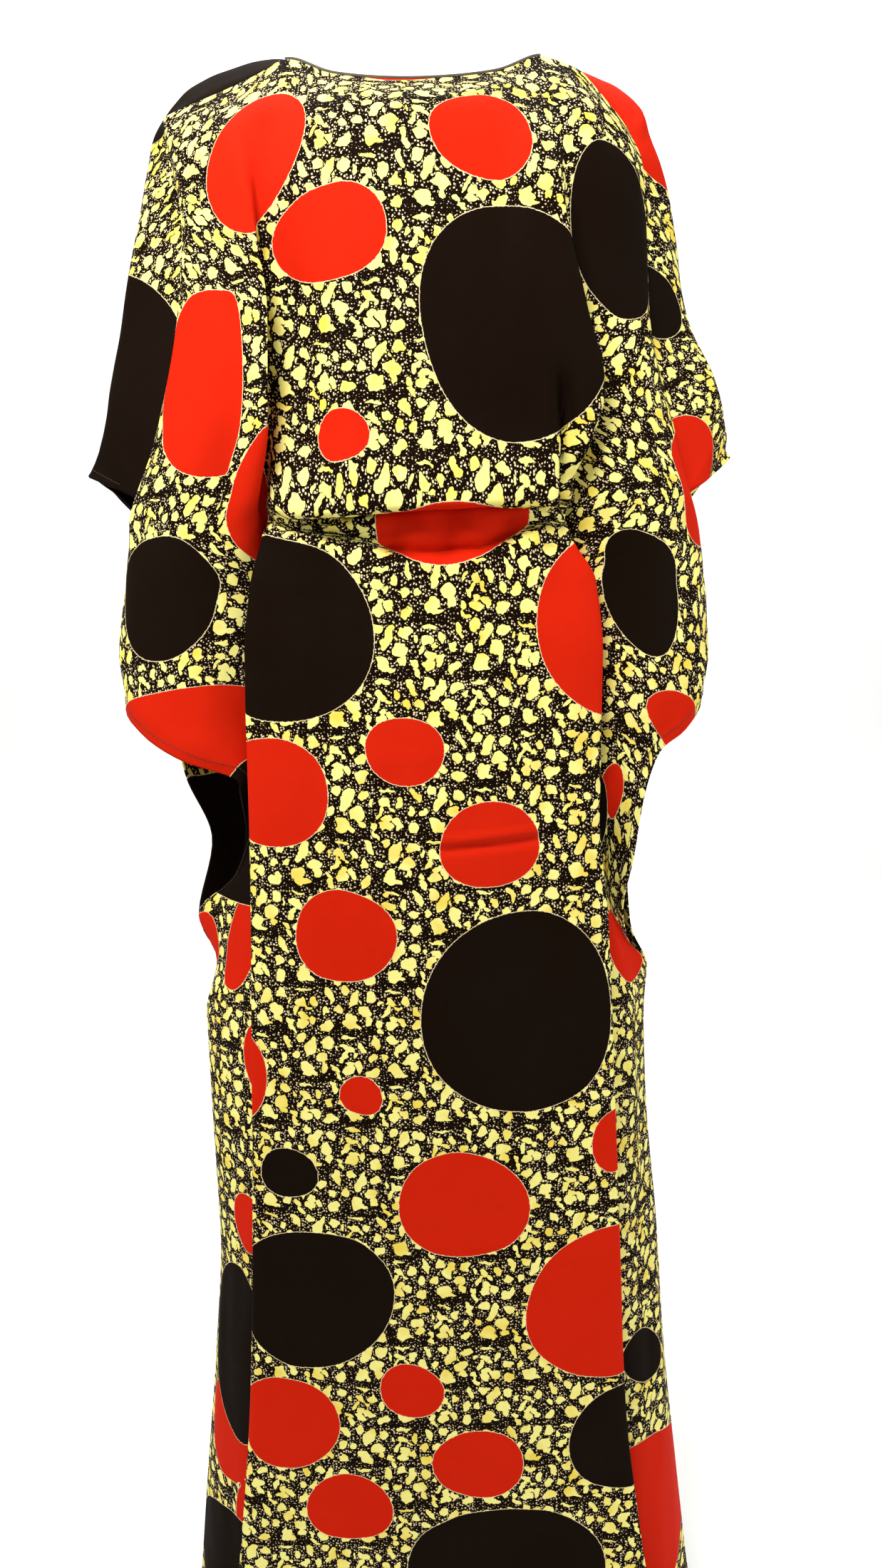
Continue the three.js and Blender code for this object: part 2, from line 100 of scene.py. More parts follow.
# %% [markdown]
# ## The lines that shape the cloth
# Cloth that hangs from shoulders falls in a few long folds. Each line below follows one of them from
# the top edge to the hem, in millimetres: its level, how far out from the middle, how far back (+) or
# forward (-), and its drop below the shoulder where that differs from the level. They are the lines
# of the part's own solids, so the fine cloth lies where the solids are. The alternative, a shrinkwrap
# onto the solids, loses the deep folds where one layer of cloth hides another.

# %% Guide lines of the front and the back
LENGTH = 1460

# Each row: level, out, back, and the drop where it isn't the level, in mm. The side seams belong to
# both panels: above the open sleeve end, and below it.
LEFT_SEAM_TOP = [(0, -200, -32, 52), (16, -199, -34, 60), (64, -195, -36, 88), (130, -187, -44, 138),
                 (210, -196, -47), (290, -216, -47), (342, -231, -44, 346)]
LEFT_SEAM_LOW = [(700, -217, 4, 722), (745, -202, 2, 765), (810, -214, 0, 818), (910, -214, 0),
                 (1040, -213, 0), (1180, -224, 0), (1320, -240, 0), (LENGTH, -255, 0)]
RIGHT_SEAM_TOP = [(0, 166, -31, 63), (64, 178, -36, 92), (130, 181, -42, 140), (210, 185, -45),
                  (290, 206, -45), (342, 219, -42, 346)]
RIGHT_SEAM_LOW = [(745, 203, 0, 776), (810, 201, 0, 818), (910, 205, 0), (1040, 218, 0), (1180, 229, 0),
                  (1320, 245, 0), (LENGTH, 262, 0)]

FRONT = {
    "left_edge": [*LEFT_SEAM_TOP, (356, -236, -20, 362), (376, -240, 4, 390), (415, -247, 14, 440),
        (440, -255, 6, 480), (470, -260, -36, 517), (500, -240, -68, 538), (530, -204, -86, 558),
        (565, -157, -88, 578), (605, -158, -60, 620), (650, -176, -26, 676), *LEFT_SEAM_LOW],
    "left_turn": [(0, -191, -32, 48), (64, -188, -50, 84), (130, -182, -62, 135), (210, -192, -62),
        (290, -211, -64), (342, -238, -52, 347), (356, -245, -40, 362), (376, -251, -26, 388),
        (415, -259, -30, 436), (440, -263, -36, 471), (470, -252, -58, 504), (500, -226, -80, 528),
        (530, -190, -92, 546), (565, -152, -87, 571), (605, -154, -62, 614), (650, -170, -33, 668),
        (700, -205, -8, 716), (745, -196, -12, 759), (810, -208, -14, 816), (910, -208, -16),
        (1040, -206, -18), (1180, -216, -20), (1320, -231, -20), (LENGTH, -246, -20)],
    "left_sleeve": [(0, -171, -31, 40), (64, -166, -62, 76), (130, -158, -82, 133), (210, -166, -90),
        (290, -182, -96), (342, -196, -92), (376, -202, -86, 378), (415, -206, -86, 419),
        (440, -205, -88, 448), (470, -198, -92, 480), (500, -182, -92, 507), (530, -162, -88, 533),
        (565, -146, -79, 564), (605, -149, -64, 606), (650, -162, -42, 657), (700, -184, -28, 706),
        (745, -182, -32, 750), (810, -190, -36), (910, -190, -40), (1040, -189, -42), (1180, -199, -46),
        (1320, -211, -46), (LENGTH, -224, -46)],
    "left_crest": [(0, -148, -30, 31), (64, -142, -72, 70), (130, -126, -102), (210, -113, -121),
        (290, -117, -124), (342, -129, -112), (376, -141, -98), (415, -152, -88), (470, -156, -86),
        (530, -148, -80), (565, -141, -74), (605, -143, -67), (650, -149, -55), (700, -160, -50),
        (810, -165, -56), (1040, -172, -58), (1180, -182, -60), (1320, -194, -62), (LENGTH, -204, -62)],
    "left_valley": [(0, -126, -28, 21), (64, -124, -70, 66), (130, -122, -90), (210, -131, -93),
        (290, -134, -94), (342, -133, -86), (376, -124, -78), (415, -118, -78), (470, -122, -80),
        (605, -122, -76), (810, -134, -74), (1180, -153, -74), (LENGTH, -176, -78)],
    "left_side": [(0, -103, -22, 8), (64, -102, -67, 64), (130, -100, -92), (210, -98, -98),
        (290, -103, -100), (342, -117, -104), (376, -126, -98), (415, -138, -100), (470, -145, -104),
        (605, -148, -102), (810, -156, -97), (910, -160, -95), (1040, -167, -95), (1180, -176, -95),
        (1320, -191, -98), (LENGTH, -208, -100)],
    "left_chest": [(0, -62, -52, 29), (64, -60, -86), (130, -58, -108), (210, -57, -119),
        (290, -60, -121), (342, -64, -120), (376, -64, -108), (415, -68, -113), (470, -72, -118),
        (605, -76, -120), (810, -80, -113), (1040, -84, -107), (1320, -94, -107), (LENGTH, -104, -112)],
    "middle": [(0, -3, -66, 38), (64, -3, -94), (130, -3, -114), (210, -3, -125), (290, -3, -127),
        (342, -3, -125), (376, -2, -112), (415, -2, -117), (470, -2, -122), (605, 0, -125),
        (810, 1, -118), (1040, 1, -112), (1320, 1, -112), (LENGTH, 2, -114)],
    "right_chest": [(0, 60, -52, 29), (64, 58, -86), (130, 58, -109), (210, 62, -121), (290, 66, -124),
        (342, 62, -121), (376, 60, -109), (415, 66, -113), (470, 70, -118), (605, 76, -119),
        (810, 80, -113), (1040, 86, -107), (1320, 96, -107), (LENGTH, 108, -112)],
    "right_side": [(0, 98, -22, 8), (64, 101, -70, 64), (130, 108, -104), (210, 125, -114),
        (270, 140, -113), (310, 128, -112), (342, 112, -108), (376, 115, -99), (415, 136, -100),
        (470, 143, -103), (530, 143, -101), (605, 143, -100), (700, 152, -98), (910, 163, -95),
        (1040, 169, -95), (1180, 177, -95), (1320, 193, -98), (LENGTH, 214, -102)],
    "right_valley": [(0, 113, -26, 14), (64, 114, -66, 63), (130, 113, -87), (210, 114, -88),
        (290, 119, -88), (342, 120, -86), (376, 108, -80), (415, 112, -80), (470, 116, -80),
        (605, 118, -76), (810, 131, -74), (1180, 154, -74), (LENGTH, 180, -78)],
    "right_crest": [(0, 128, -29, 21), (64, 131, -66, 64), (130, 138, -80), (210, 143, -86),
        (290, 147, -92), (320, 148, -98), (342, 146, -98), (376, 140, -90), (415, 150, -86),
        (470, 156, -86), (530, 156, -84), (565, 153, -80), (605, 150, -74), (650, 150, -64),
        (700, 156, -54, 703), (745, 162, -50, 748), (810, 166, -54), (1040, 175, -58), (1180, 186, -58),
        (1320, 200, -60), (LENGTH, 214, -60)],
    "right_sleeve": [(0, 143, -30, 36), (64, 148, -58, 73), (130, 158, -72, 133), (210, 163, -78),
        (290, 176, -82), (342, 187, -86), (376, 193, -84), (415, 198, -82, 420), (440, 199, -82, 450),
        (470, 196, -84, 484), (500, 188, -85, 514), (530, 177, -84, 541), (565, 167, -80, 576),
        (605, 161, -72, 622), (650, 158, -58, 673), (700, 165, -42, 722), (745, 178, -34, 761),
        (810, 184, -36, 813), (910, 187, -40), (1040, 192, -42), (1180, 204, -44), (1320, 219, -46),
        (LENGTH, 234, -46)],
    "right_turn": [(0, 156, -31, 51), (64, 166, -48, 82), (130, 174, -56, 136), (210, 181, -58),
        (290, 200, -60), (342, 220, -54, 346), (356, 228, -42, 362), (376, 235, -26, 388),
        (415, 241, -30, 438), (440, 242, -40, 474), (470, 234, -56, 503), (500, 213, -70, 530),
        (530, 191, -78, 551), (565, 179, -80, 585), (605, 172, -74, 637), (650, 166, -56, 688),
        (700, 176, -28, 738), (745, 194, -12, 771), (810, 194, -16, 817), (910, 198, -16),
        (1040, 210, -18), (1180, 222, -20), (1320, 238, -20), (LENGTH, 252, -20)],
    "right_edge": [*RIGHT_SEAM_TOP, (356, 222, -20, 362), (376, 225, 4, 390), (415, 231, 12, 442),
        (440, 235, 2, 480), (470, 238, -36, 515), (500, 220, -62, 541), (530, 197, -74, 557),
        (565, 184, -80, 592), (605, 177, -75, 646), (650, 171, -56, 697), (700, 183, -20, 746),
        *RIGHT_SEAM_LOW],
}

BACK = {
    "left_edge": [*LEFT_SEAM_TOP, (356, -256, -21, 337), (376, -291, 6, 323), (399, -264, 32, 348),
        (440, -250, 60, 410), (500, -248, 70, 480), (565, -240, 52, 548), (605, -226, 26, 594),
        (650, -201, 8, 650), *LEFT_SEAM_LOW],
    "left_turn": [(0, -191, -32, 48), (16, -202, -14, 48), (36, -213, -8, 58), (64, -221, -6, 82),
        (130, -235, -4, 135), (210, -252, -2, 206), (290, -266, 0, 254), (320, -270, 2, 272),
        (342, -274, 4, 286), (356, -279, 7, 300), (376, -286, 13, 321), (399, -255, 42, 354),
        (440, -241, 64, 422), (500, -240, 72, 490), (565, -229, 60, 558), (605, -213, 40, 604),
        (650, -193, 24, 653), (700, -200, 16, 716), (745, -192, 14, 759), (810, -203, 16, 817),
        (1040, -203, 18), (1320, -228, 20), (LENGTH, -244, 22)],
    "left_sleeve": [(0, -171, -31, 40), (16, -183, 0, 20), (36, -196, 16, 40), (64, -204, 28, 72),
        (130, -216, 46), (210, -230, 58), (342, -238, 72), (440, -222, 84), (565, -196, 80),
        (700, -176, 50), (810, -179, 46), (1040, -184, 50), (1320, -206, 54), (LENGTH, -220, 56)],
    "left_crest": [(0, -137, -29, 26), (16, -146, 4, 4), (36, -156, 34, 28), (64, -164, 56, 60),
        (130, -174, 78), (210, -182, 88), (342, -180, 92), (440, -170, 100), (565, -158, 102),
        (810, -150, 88), (1180, -158, 84), (LENGTH, -186, 88)],
    "left_valley": [(0, -120, -27, 18), (16, -122, 4, -1), (36, -124, 38, 24), (64, -126, 60, 58),
        (130, -132, 76), (210, -136, 82), (342, -128, 70), (440, -129, 84), (565, -127, 92),
        (810, -122, 86), (1180, -134, 78), (LENGTH, -158, 78)],
    "left_side": [(0, -103, -22, 8), (16, -99, 10, 1), (36, -94, 46, 26), (64, -92, 68, 62),
        (130, -96, 86), (210, -96, 92), (342, -88, 78), (376, -86, 72), (440, -94, 88), (565, -98, 106),
        (810, -98, 108), (1180, -106, 100), (LENGTH, -126, 104)],
    "left_blade": [(0, -72, 34, 2), (36, -58, 62, 32), (64, -54, 78), (130, -52, 94), (210, -52, 97),
        (342, -48, 82), (376, -46, 74), (440, -50, 91), (565, -52, 112), (810, -52, 114),
        (1180, -56, 106), (LENGTH, -66, 110)],
    "middle": [(0, 0, 62, 14), (36, 0, 78, 44), (64, 0, 88, 66), (130, 0, 98), (210, 0, 98),
        (290, 0, 91), (342, 0, 83), (376, 0, 75), (440, 0, 92), (565, 0, 114), (810, 0, 116),
        (1180, 0, 108), (LENGTH, 0, 112)],
    "right_blade": [(0, 70, 34, 2), (36, 56, 62, 32), (64, 54, 78), (130, 53, 94), (210, 53, 97),
        (342, 49, 82), (376, 47, 74), (440, 51, 91), (565, 53, 112), (810, 54, 114), (1180, 58, 106),
        (LENGTH, 70, 110)],
    "right_side": [(0, 98, -22, 8), (16, 96, 10, 2), (36, 92, 46, 27), (64, 92, 68, 62), (130, 96, 86),
        (210, 98, 92), (342, 90, 78), (376, 87, 72), (440, 96, 88), (565, 100, 106), (810, 101, 108),
        (1180, 110, 100), (LENGTH, 132, 104)],
    "right_valley": [(0, 109, -25, 12), (16, 113, 2, 4), (36, 118, 36, 30), (64, 122, 58, 62),
        (130, 129, 76), (210, 135, 82), (342, 129, 70), (440, 131, 84), (565, 129, 92), (810, 125, 86),
        (1180, 138, 78), (LENGTH, 164, 78)],
    "right_crest": [(0, 121, -28, 18), (16, 130, 2, 11), (36, 146, 32, 36), (64, 154, 54, 66),
        (130, 166, 76), (210, 174, 88), (342, 178, 92), (440, 168, 100), (565, 157, 102),
        (810, 151, 88), (1180, 162, 84), (LENGTH, 192, 88)],
    "right_sleeve": [(0, 143, -30, 36), (16, 161, -2, 24), (36, 177, 14, 50), (64, 186, 26, 80),
        (130, 198, 44), (210, 208, 58), (342, 222, 72), (440, 212, 84), (565, 186, 80), (700, 172, 52),
        (810, 177, 46), (1040, 190, 50), (1320, 214, 54), (LENGTH, 230, 56)],
    "right_turn": [(0, 156, -31, 51), (16, 180, -12, 46), (36, 188, -8, 62), (64, 197, -8, 86),
        (130, 211, -6, 136), (210, 226, -4, 206), (290, 250, 0, 254), (320, 256, 2, 272),
        (342, 259, 4, 285), (356, 262, 7, 298), (376, 259, 14, 313), (399, 232, 40, 348),
        (440, 223, 60, 420), (500, 222, 70, 490), (565, 200, 60, 562), (605, 188, 44, 612),
        (650, 180, 30, 668), (700, 180, 18, 730), (745, 190, 14, 770), (810, 192, 16, 817),
        (1040, 208, 18), (1320, 236, 20), (LENGTH, 252, 22)],
    "right_edge": [*RIGHT_SEAM_TOP, (356, 241, -21, 334), (376, 266, 5, 314), (399, 240, 30, 340),
        (440, 229, 58, 404), (500, 230, 68, 480), (565, 208, 52, 554), (605, 193, 32, 608),
        (650, 184, 18, 668), (700, 188, 8, 738), *RIGHT_SEAM_LOW],
}
print(len(FRONT), "lines across the front,", len(BACK), "across the back")

# %% [markdown]
# ## From lines to a surface
# Two kinds of curve make the cloth. Down each line, a curve passes through the stations and never
# swings past its neighbours, so nothing bulges that no station asks for. Across, at every level, a
# curve with even bends joins the lines, and that gives the folds their round backs. Both are worked
# out with arrays, for every level at once. A subdivision surface over a coarse cage would also be
# smooth, but it would shrink away from the fold edges.

# %% Curves down and across


def through(levels, values, at):
    """Smooth values at the levels asked for, never past the neighbouring stations."""
    levels, values = np.asarray(levels, float), np.asarray(values, float)
    rise = np.diff(values) / np.diff(levels)
    lean = np.empty_like(values)
    lean[0], lean[-1] = rise[0], rise[-1]
    product = rise[:-1] * rise[1:]
    total = np.where(product > 0, rise[:-1] + rise[1:], 1.0)
    lean[1:-1] = np.where(product > 0, 2 * product / total, 0.0)
    at = np.clip(np.asarray(at, float), levels[0], levels[-1])
    k = np.clip(np.searchsorted(levels, at, side="right") - 1, 0, len(levels) - 2)
    span = levels[k + 1] - levels[k]
    t = (at - levels[k]) / span
    level_part = values[k] + t * t * (3 - 2 * t) * (values[k + 1] - values[k])
    return level_part + span * t * (1 - t) * ((1 - t) * lean[k] - t * lean[k + 1])


def guide_points(table, levels):
    """A guide line's points at the levels asked for, in metres."""
    stations = [row[0] for row in table]
    out, back = (through(stations, [row[k] for row in table], levels) for k in (1, 2))
    drop = through(stations, [row[3] if len(row) > 3 else row[0] for row in table], levels)
    return np.stack([out, back, -drop], axis=-1) * MM


def across(guides, steps):
    """Even-bending curves across the guide lines, for all levels at once."""
    first = 2 * guides[:, :1] - guides[:, 1:2]
    last = 2 * guides[:, -1:] - guides[:, -2:-1]
    line = np.concatenate([first, guides, last], axis=1)
    pieces = []
    for k, count in enumerate(steps):
        p0, p1, p2, p3 = (line[:, k + i] for i in range(4))
        d0, d1, d2 = (np.sqrt(np.linalg.norm(b - a, axis=-1, keepdims=True))
                      for a, b in ((p0, p1), (p1, p2), (p2, p3)))
        m1 = ((p1 - p0) / d0 - (p2 - p0) / (d0 + d1) + (p2 - p1) / d1) * d1
        m2 = ((p2 - p1) / d1 - (p3 - p1) / (d1 + d2) + (p3 - p2) / d2) * d1
        for i in range(count):
            t = i / count
            pieces.append(p1 + m1 * t + (-3 * p1 + 3 * p2 - 2 * m1 - m2) * t**2
                          + (2 * p1 - 2 * p2 + m1 + m2) * t**3)
    pieces.append(guides[:, -1])
    return np.stack(pieces, axis=1)


# %% Levels of the fine rows
# Spacing of the rows by level: close at the neck, the waist and the hem.
ROW_SPACING = [(0, 4), (50, 5), (90, 9), (290, 9), (330, 3.2), (410, 3.2), (450, 6.5), (600, 6.5),
               (606, 3), (636, 3), (646, 7), (720, 8), (800, 10), (1380, 10), (1430, 4), (LENGTH, 3)]


def fine_levels():
    """Row levels from the top edge to the hem, at the spacing of the table."""
    levels = [0.0]
    while levels[-1] < LENGTH:
        gap = np.interp(levels[-1], [r[0] for r in ROW_SPACING], [r[1] for r in ROW_SPACING])
        levels.append(levels[-1] + float(gap))
    return np.array(levels) * (LENGTH / levels[-1])


LEVELS = fine_levels()
print(len(LEVELS), "rows down the cloth")

# %% [markdown]
# ## The drawn-up waist
# A narrow channel is stitched across the body at the waist and drawn up with a cord or elastic. The
# cloth above it blouses over the channel, a lower roll starts the skirt, and small gathers fan out
# above and below, stronger toward the two ends where the cloth bunches. One table gives the roll by
# level, and a wave gives the gathers. It could be simulated by shrinking a band of cloth, but the
# roll and the gathers are then hard to place.

# %% The waist roll and gathers
WAIST = 376
CHANNEL = 15
CHANNEL_HALF = 122
GATHERS = 11
GATHER_DEPTH = 2.6
GATHER_DRIFT = 0.5
DRIFT_LENGTH = 31
FADE_ABOVE = 80
FADE_BELOW = 140
END_SHARPNESS = 6
# Level, forward, extra drop.
WAIST_ROLL = [(290, 0, 0), (316, 4, 0), (332, 9, 6), (344, 11, 12), (351, 2, 8), (355, -9, 3),
              (362, -3, 0), (374, 1, 0), (385, -1, -1), (391, -8, -1), (397, 0, -3), (403, 5, -4),
              (418, 3, -1), (445, 0, 0)]
# Out from the middle, extra drop of the channel.
CHANNEL_SAG = [(-130, 17), (-110, 14), (-90, 10), (-30, 1), (60, -4), (120, -3)]
# Out from the middle, how far the lower crease rises: the channel narrows at its ends.
LOWER_RISE = [(-130, 28), (-110, 27), (-80, 23), (-52, 14), (-26, 4), (0, -1), (40, -1), (62, 6),
              (100, 19), (130, 23)]
BAND_FROM = 355
BAND_TO = 369


def drawn_up(level):
    """How strongly the cloth is drawn up: 1 in the channel, fading above and below."""
    away = np.abs(level - WAIST)
    reach = np.where(level < WAIST, FADE_ABOVE, FADE_BELOW)
    return np.where(away < CHANNEL, 1.0, np.clip(1 - (away - CHANNEL) / reach, 0, 1) ** 2)


def soft_step(value, start, end):
    """0 before start, 1 after end, with soft ends."""
    t = np.clip((value - start) / (end - start), 0, 1)
    return t * t * (3 - 2 * t)


def crease_level(out):
    """The level each point has in the tables of the waist, which know only the middle of the channel."""
    level = LEVELS[:, None]
    return level + through(*zip(*LOWER_RISE), out) * soft_step(level, BAND_FROM, BAND_TO)


def gather_waist(grid, facing):
    """Rolls the cloth over the channel and puts the small gathers into it."""
    out = grid[..., 0] / MM
    level = crease_level(out)
    inside = np.clip(1 - (out / CHANNEL_HALF) ** END_SHARPNESS, 0, 1)
    phase = out / CHANNEL_HALF * math.pi * GATHERS / 2
    wave = np.cos(phase + GATHER_DRIFT * np.sin(out / DRIFT_LENGTH))
    levels, forward, drop = zip(*WAIST_ROLL)
    roll = through(levels, forward, level)
    fall = through(levels, drop, level)
    sag = through(*zip(*CHANNEL_SAG), out)
    grid[..., 1] += facing * inside * (GATHER_DEPTH * wave * drawn_up(level) + roll) * MM
    grid[..., 2] -= inside * (fall + sag * drawn_up(level)) * MM
    return grid


# %% The two cloth surfaces
FRONT_STEPS = [8, 12, 14, 10, 12, 15, 16, 16, 15, 12, 10, 14, 12, 8]
BACK_STEPS = [10, 10, 10, 8, 8, 9, 9, 9, 9, 8, 8, 10, 10, 10]
NECK_GUIDE = 5
# Which way a panel faces along Y.
FORWARD = -1
BACKWARD = 1


def cloth_grid(guides, steps, facing):
    """The middle surface of a panel, rows down it and columns across it: ungathered, and gathered."""
    lines = np.stack([guide_points(table, LEVELS) for table in guides.values()], axis=1)
    plain = across(lines, steps)
    return plain, gather_waist(plain.copy(), facing)


def neck_columns(steps):
    """First and last column of the neckline; the shoulder seams run outside them."""
    return sum(steps[:NECK_GUIDE]), sum(steps) - sum(steps[-NECK_GUIDE:])


def share_shoulders(front, back):
    """The back's shoulder edge is laid onto the front's."""
    line = front[0]
    start, end = neck_columns(BACK_STEPS)
    for c in [*range(start + 1), *range(end, back.shape[1])]:
        x = back[0, c, 0]
        back[0, c] = [x, *(np.interp(x, line[:, 0], line[:, k]) for k in (1, 2))]


front_plain, front_grid = cloth_grid(FRONT, FRONT_STEPS, FORWARD)
back_plain, back_grid = cloth_grid(BACK, BACK_STEPS, BACKWARD)
share_shoulders(front_plain, back_plain)
share_shoulders(front_grid, back_grid)
print("front", front_grid.shape, "back", back_grid.shape)

# %% [markdown]
# ## Cloth coordinates
# A print belongs to the cloth and not to the air around it, so every point needs its place on the flat
# cloth: how far across from the middle, measured along the cloth, and how far down from the shoulder.
# A row of the mesh follows one row of threads, so its level is its place down the cloth, and the waist
# creases swallow a little cloth more. Both go into the UV map, in metres, and everything printed or
# woven is placed with them.

# %% Places on the flat cloth
# Cloth swallowed by the waist creases: from level, to level, amount (mm). The sleeves swallow none
# there, so beside the body the same amount is let in slowly, between two levels.
TUCKED = [(348, 357, 27), (386, 395, 22)]
EASED_FROM = 120
EASED_TO = 620
VALLEY_GUIDE = 4


def flat_places(grid, steps):
    """Across and down along the cloth for every point, in metres."""
    middle = sum(steps[: len(steps) // 2])
    step = np.linalg.norm(np.diff(grid, axis=1), axis=-1)
    run = np.concatenate([np.zeros((len(grid), 1)), np.cumsum(step, axis=1)], axis=1)
    level = crease_level(grid[..., 0] / MM)
    tucked = sum(amount * soft_step(level, start, end) for start, end, amount in TUCKED)
    eased = sum(row[2] for row in TUCKED) * soft_step(LEVELS, EASED_FROM, EASED_TO)
    column = np.arange(grid.shape[1])
    valley, side = sum(steps[:VALLEY_GUIDE]), sum(steps[: VALLEY_GUIDE + 1])
    far_valley, far_side = np.cumsum(steps)[::-1][VALLEY_GUIDE : VALLEY_GUIDE + 2]
    body = soft_step(column, valley, side) * soft_step(-column, -far_valley, -far_side)
    down = LEVELS[:, None] + body * tucked + (1 - body) * eased[:, None]
    return np.stack([run - run[:, middle : middle + 1], down * MM], axis=-1)


front_flat = flat_places(front_plain, FRONT_STEPS)
back_flat = flat_places(back_plain, BACK_STEPS)
for name, flat in (("front", front_flat), ("back", back_flat)):
    widths = (flat[:, -1, 0] - flat[:, 0, 0]).round(3)
    print(name, "width at the sleeves", widths.max(), "at the hem", widths[-1])

# %% [markdown]
# ## Creases and soft ripples
# No cloth is as even as its guide lines. Two things break it up here: listed creases, each a
# soft trough or ridge from one place on the cloth to another, and long faint ripples that run down
# with the fall of the cloth. Both push the surface in or out along its own normal by a few
# millimetres. A simulation would invent creases of its own where these can be put where they belong.

# %% Creases placed one by one
# Each: from across, level, to across, level, half width, height (a trough is below 0), all in mm.
FRONT_CREASES = [
    (-95, 60, -60, 300, 16, 2.0), (-75, 70, -20, 250, 18, -1.6), (90, 60, 70, 300, 18, 2.0),
    (60, 80, 100, 260, 16, -1.8), (-30, 250, -60, 350, 12, 1.8), (20, 240, 40, 350, 14, -1.6),
    (-100, 300, -40, 356, 9, -2.0), (95, 300, 60, 356, 9, 2.2), (111, 245, 121, 380, 6, -15.0),
    (100, 260, 108, 372, 7, 4.0), (-117, 235, -140, 378, 8, -8.0), (-138, 366, -62, 358, 6, -8.0),
    (-132, 374, -70, 368, 4, 3.0), (56, 380, 122, 350, 4, -3.0), (70, 392, 126, 364, 3, 2.8),
    (84, 402, 130, 376, 3, -2.8), (48, 368, 112, 344, 3, 2.2), (-60, 384, 30, 376, 4, 1.2),
    (-8, 622, 112, 612, 3, 2.2), (-8, 630, 112, 620, 3.5, -3.6), (-90, 420, -110, 620, 14, 2.2),
    (-40, 420, -60, 560, 12, -1.6), (30, 420, 30, 600, 14, 1.4), (70, 420, 100, 640, 12, -2.0),
    (100, 410, 125, 560, 9, 2.2), (-60, 560, 40, 545, 5, 0.9), (-110, 900, -20, 915, 5, 0.8),
    (20, 1000, 80, 985, 5, 0.8), (-100, 700, -90, 1200, 22, 1.8), (60, 760, 90, 1400, 26, 2.2),
    (-20, 900, -40, 1440, 30, -1.8), (-240, 120, -220, 330, 14, 2.4), (-200, 150, -190, 420, 12, -2.2),
    (-170, 250, -180, 480, 12, 2.0), (230, 120, 225, 330, 14, 2.2), (200, 140, 205, 420, 12, -2.2),
    (180, 260, 185, 500, 12, 2.0),
]
BACK_CREASES = [
    (-90, 80, -60, 330, 18, 2.2), (80, 80, 60, 330, 18, 2.0), (0, 160, 0, 340, 26, -2.2),
    (-50, 400, -80, 640, 16, 2.2), (40, 400, 70, 600, 16, -1.8), (0, 420, 10, 700, 22, 1.8),
    (-80, 700, -90, 1300, 26, 2.4), (70, 760, 90, 1420, 28, 2.2), (0, 800, -20, 1440, 30, -2.2),
    (-220, 140, -210, 420, 18, 2.6), (215, 140, 205, 430, 18, 2.6), (-180, 260, -170, 560, 14, -2.2),
    (175, 260, 170, 560, 14, -2.2),
]
# A crease fades in and out over this share of its length.
CREASE_FADE = 0.25


def crease_heights(flat, creases):
    """Height of the cloth over its smooth surface, from the creases, in metres."""
    place = np.stack([flat[..., 0] / MM, np.repeat(LEVELS[:, None], flat.shape[1], axis=1)], axis=-1)
    height = np.zeros(flat.shape[:2])
    for u0, v0, u1, v1, half_width, ridge in creases:
        along = np.array([u1 - u0, v1 - v0], float)
        length = np.linalg.norm(along)
        along /= length
        rel = place - np.array([u0, v0])
        t = rel @ along / length
        side = rel @ np.array([-along[1], along[0]]) / half_width
        fade = np.clip(np.minimum(t, 1 - t) / CREASE_FADE, 0, 1)
        height += ridge * np.exp(-(side**2)) * fade * fade * (3 - 2 * fade)
    return height * MM


# Ripples: length of the wave across the cloth and down it (m), height (mm), start of the wave.
RIPPLES = [(0.061, 0.55, 0.7, 0.4), (0.043, 0.38, 0.5, 2.1), (0.089, 0.90, 0.9, 4.4),
           (0.027, 0.17, 0.22, 1.3)]
# How far a ripple sways (radians), how much its height swells, and over how many of its widths.
SWAY = 0.8
SWELL = 0.4
SWELL_WIDTHS = 5


def ripple_heights(flat):
    """Long faint waves that run down with the fall of the cloth."""
    u, v = flat[..., 0], flat[..., 1]
    height = np.zeros(flat.shape[:2])
    for wide, tall, depth, start in RIPPLES:
        sway = SWAY * np.sin(2 * math.pi * v / tall + start)
        swell = 1 - SWELL + SWELL * np.sin(2 * math.pi * (v / tall + u / wide / SWELL_WIDTHS) + 2 * start)
        height += depth * swell * np.sin(2 * math.pi * u / wide + sway + start)
    return height * MM


# %% Surface normals and the finished middle surface
# Creases and ripples fade out over this distance from a sewn edge, in metres.
SEAM_FADE = 0.02


def surface_normals(grid, facing):
    """Outward normals of the cloth."""
    down = np.gradient(grid, axis=0)
    side = np.gradient(grid, axis=1)
    n = np.cross(down, side) * -facing
    return n / np.linalg.norm(n, axis=-1, keepdims=True)


def edge_distance(flat):
    """Distance along the cloth to its side edges and its top edge, in metres."""
    left = np.abs(flat[..., 0] - flat[:, :1, 0])
    right = np.abs(flat[..., 0] - flat[:, -1:, 0])
    top = np.abs(flat[..., 1] - flat[:1, :, 1])
    return np.minimum(np.minimum(left, right), top)


def creased(grid, flat, creases, facing):
    """The smooth surface with its creases and ripples, still where it is sewn at the edges."""
    height = crease_heights(flat, creases) + ripple_heights(flat)
    height *= np.clip(edge_distance(flat) / SEAM_FADE, 0, 1)
    return grid + surface_normals(grid, facing) * height[..., None]


front_grid = creased(front_grid, front_flat, FRONT_CREASES, FORWARD)
back_grid = creased(back_grid, back_flat, BACK_CREASES, BACKWARD)
print(len(FRONT_CREASES) + len(BACK_CREASES), "creases and", len(RIPPLES), "ripples")

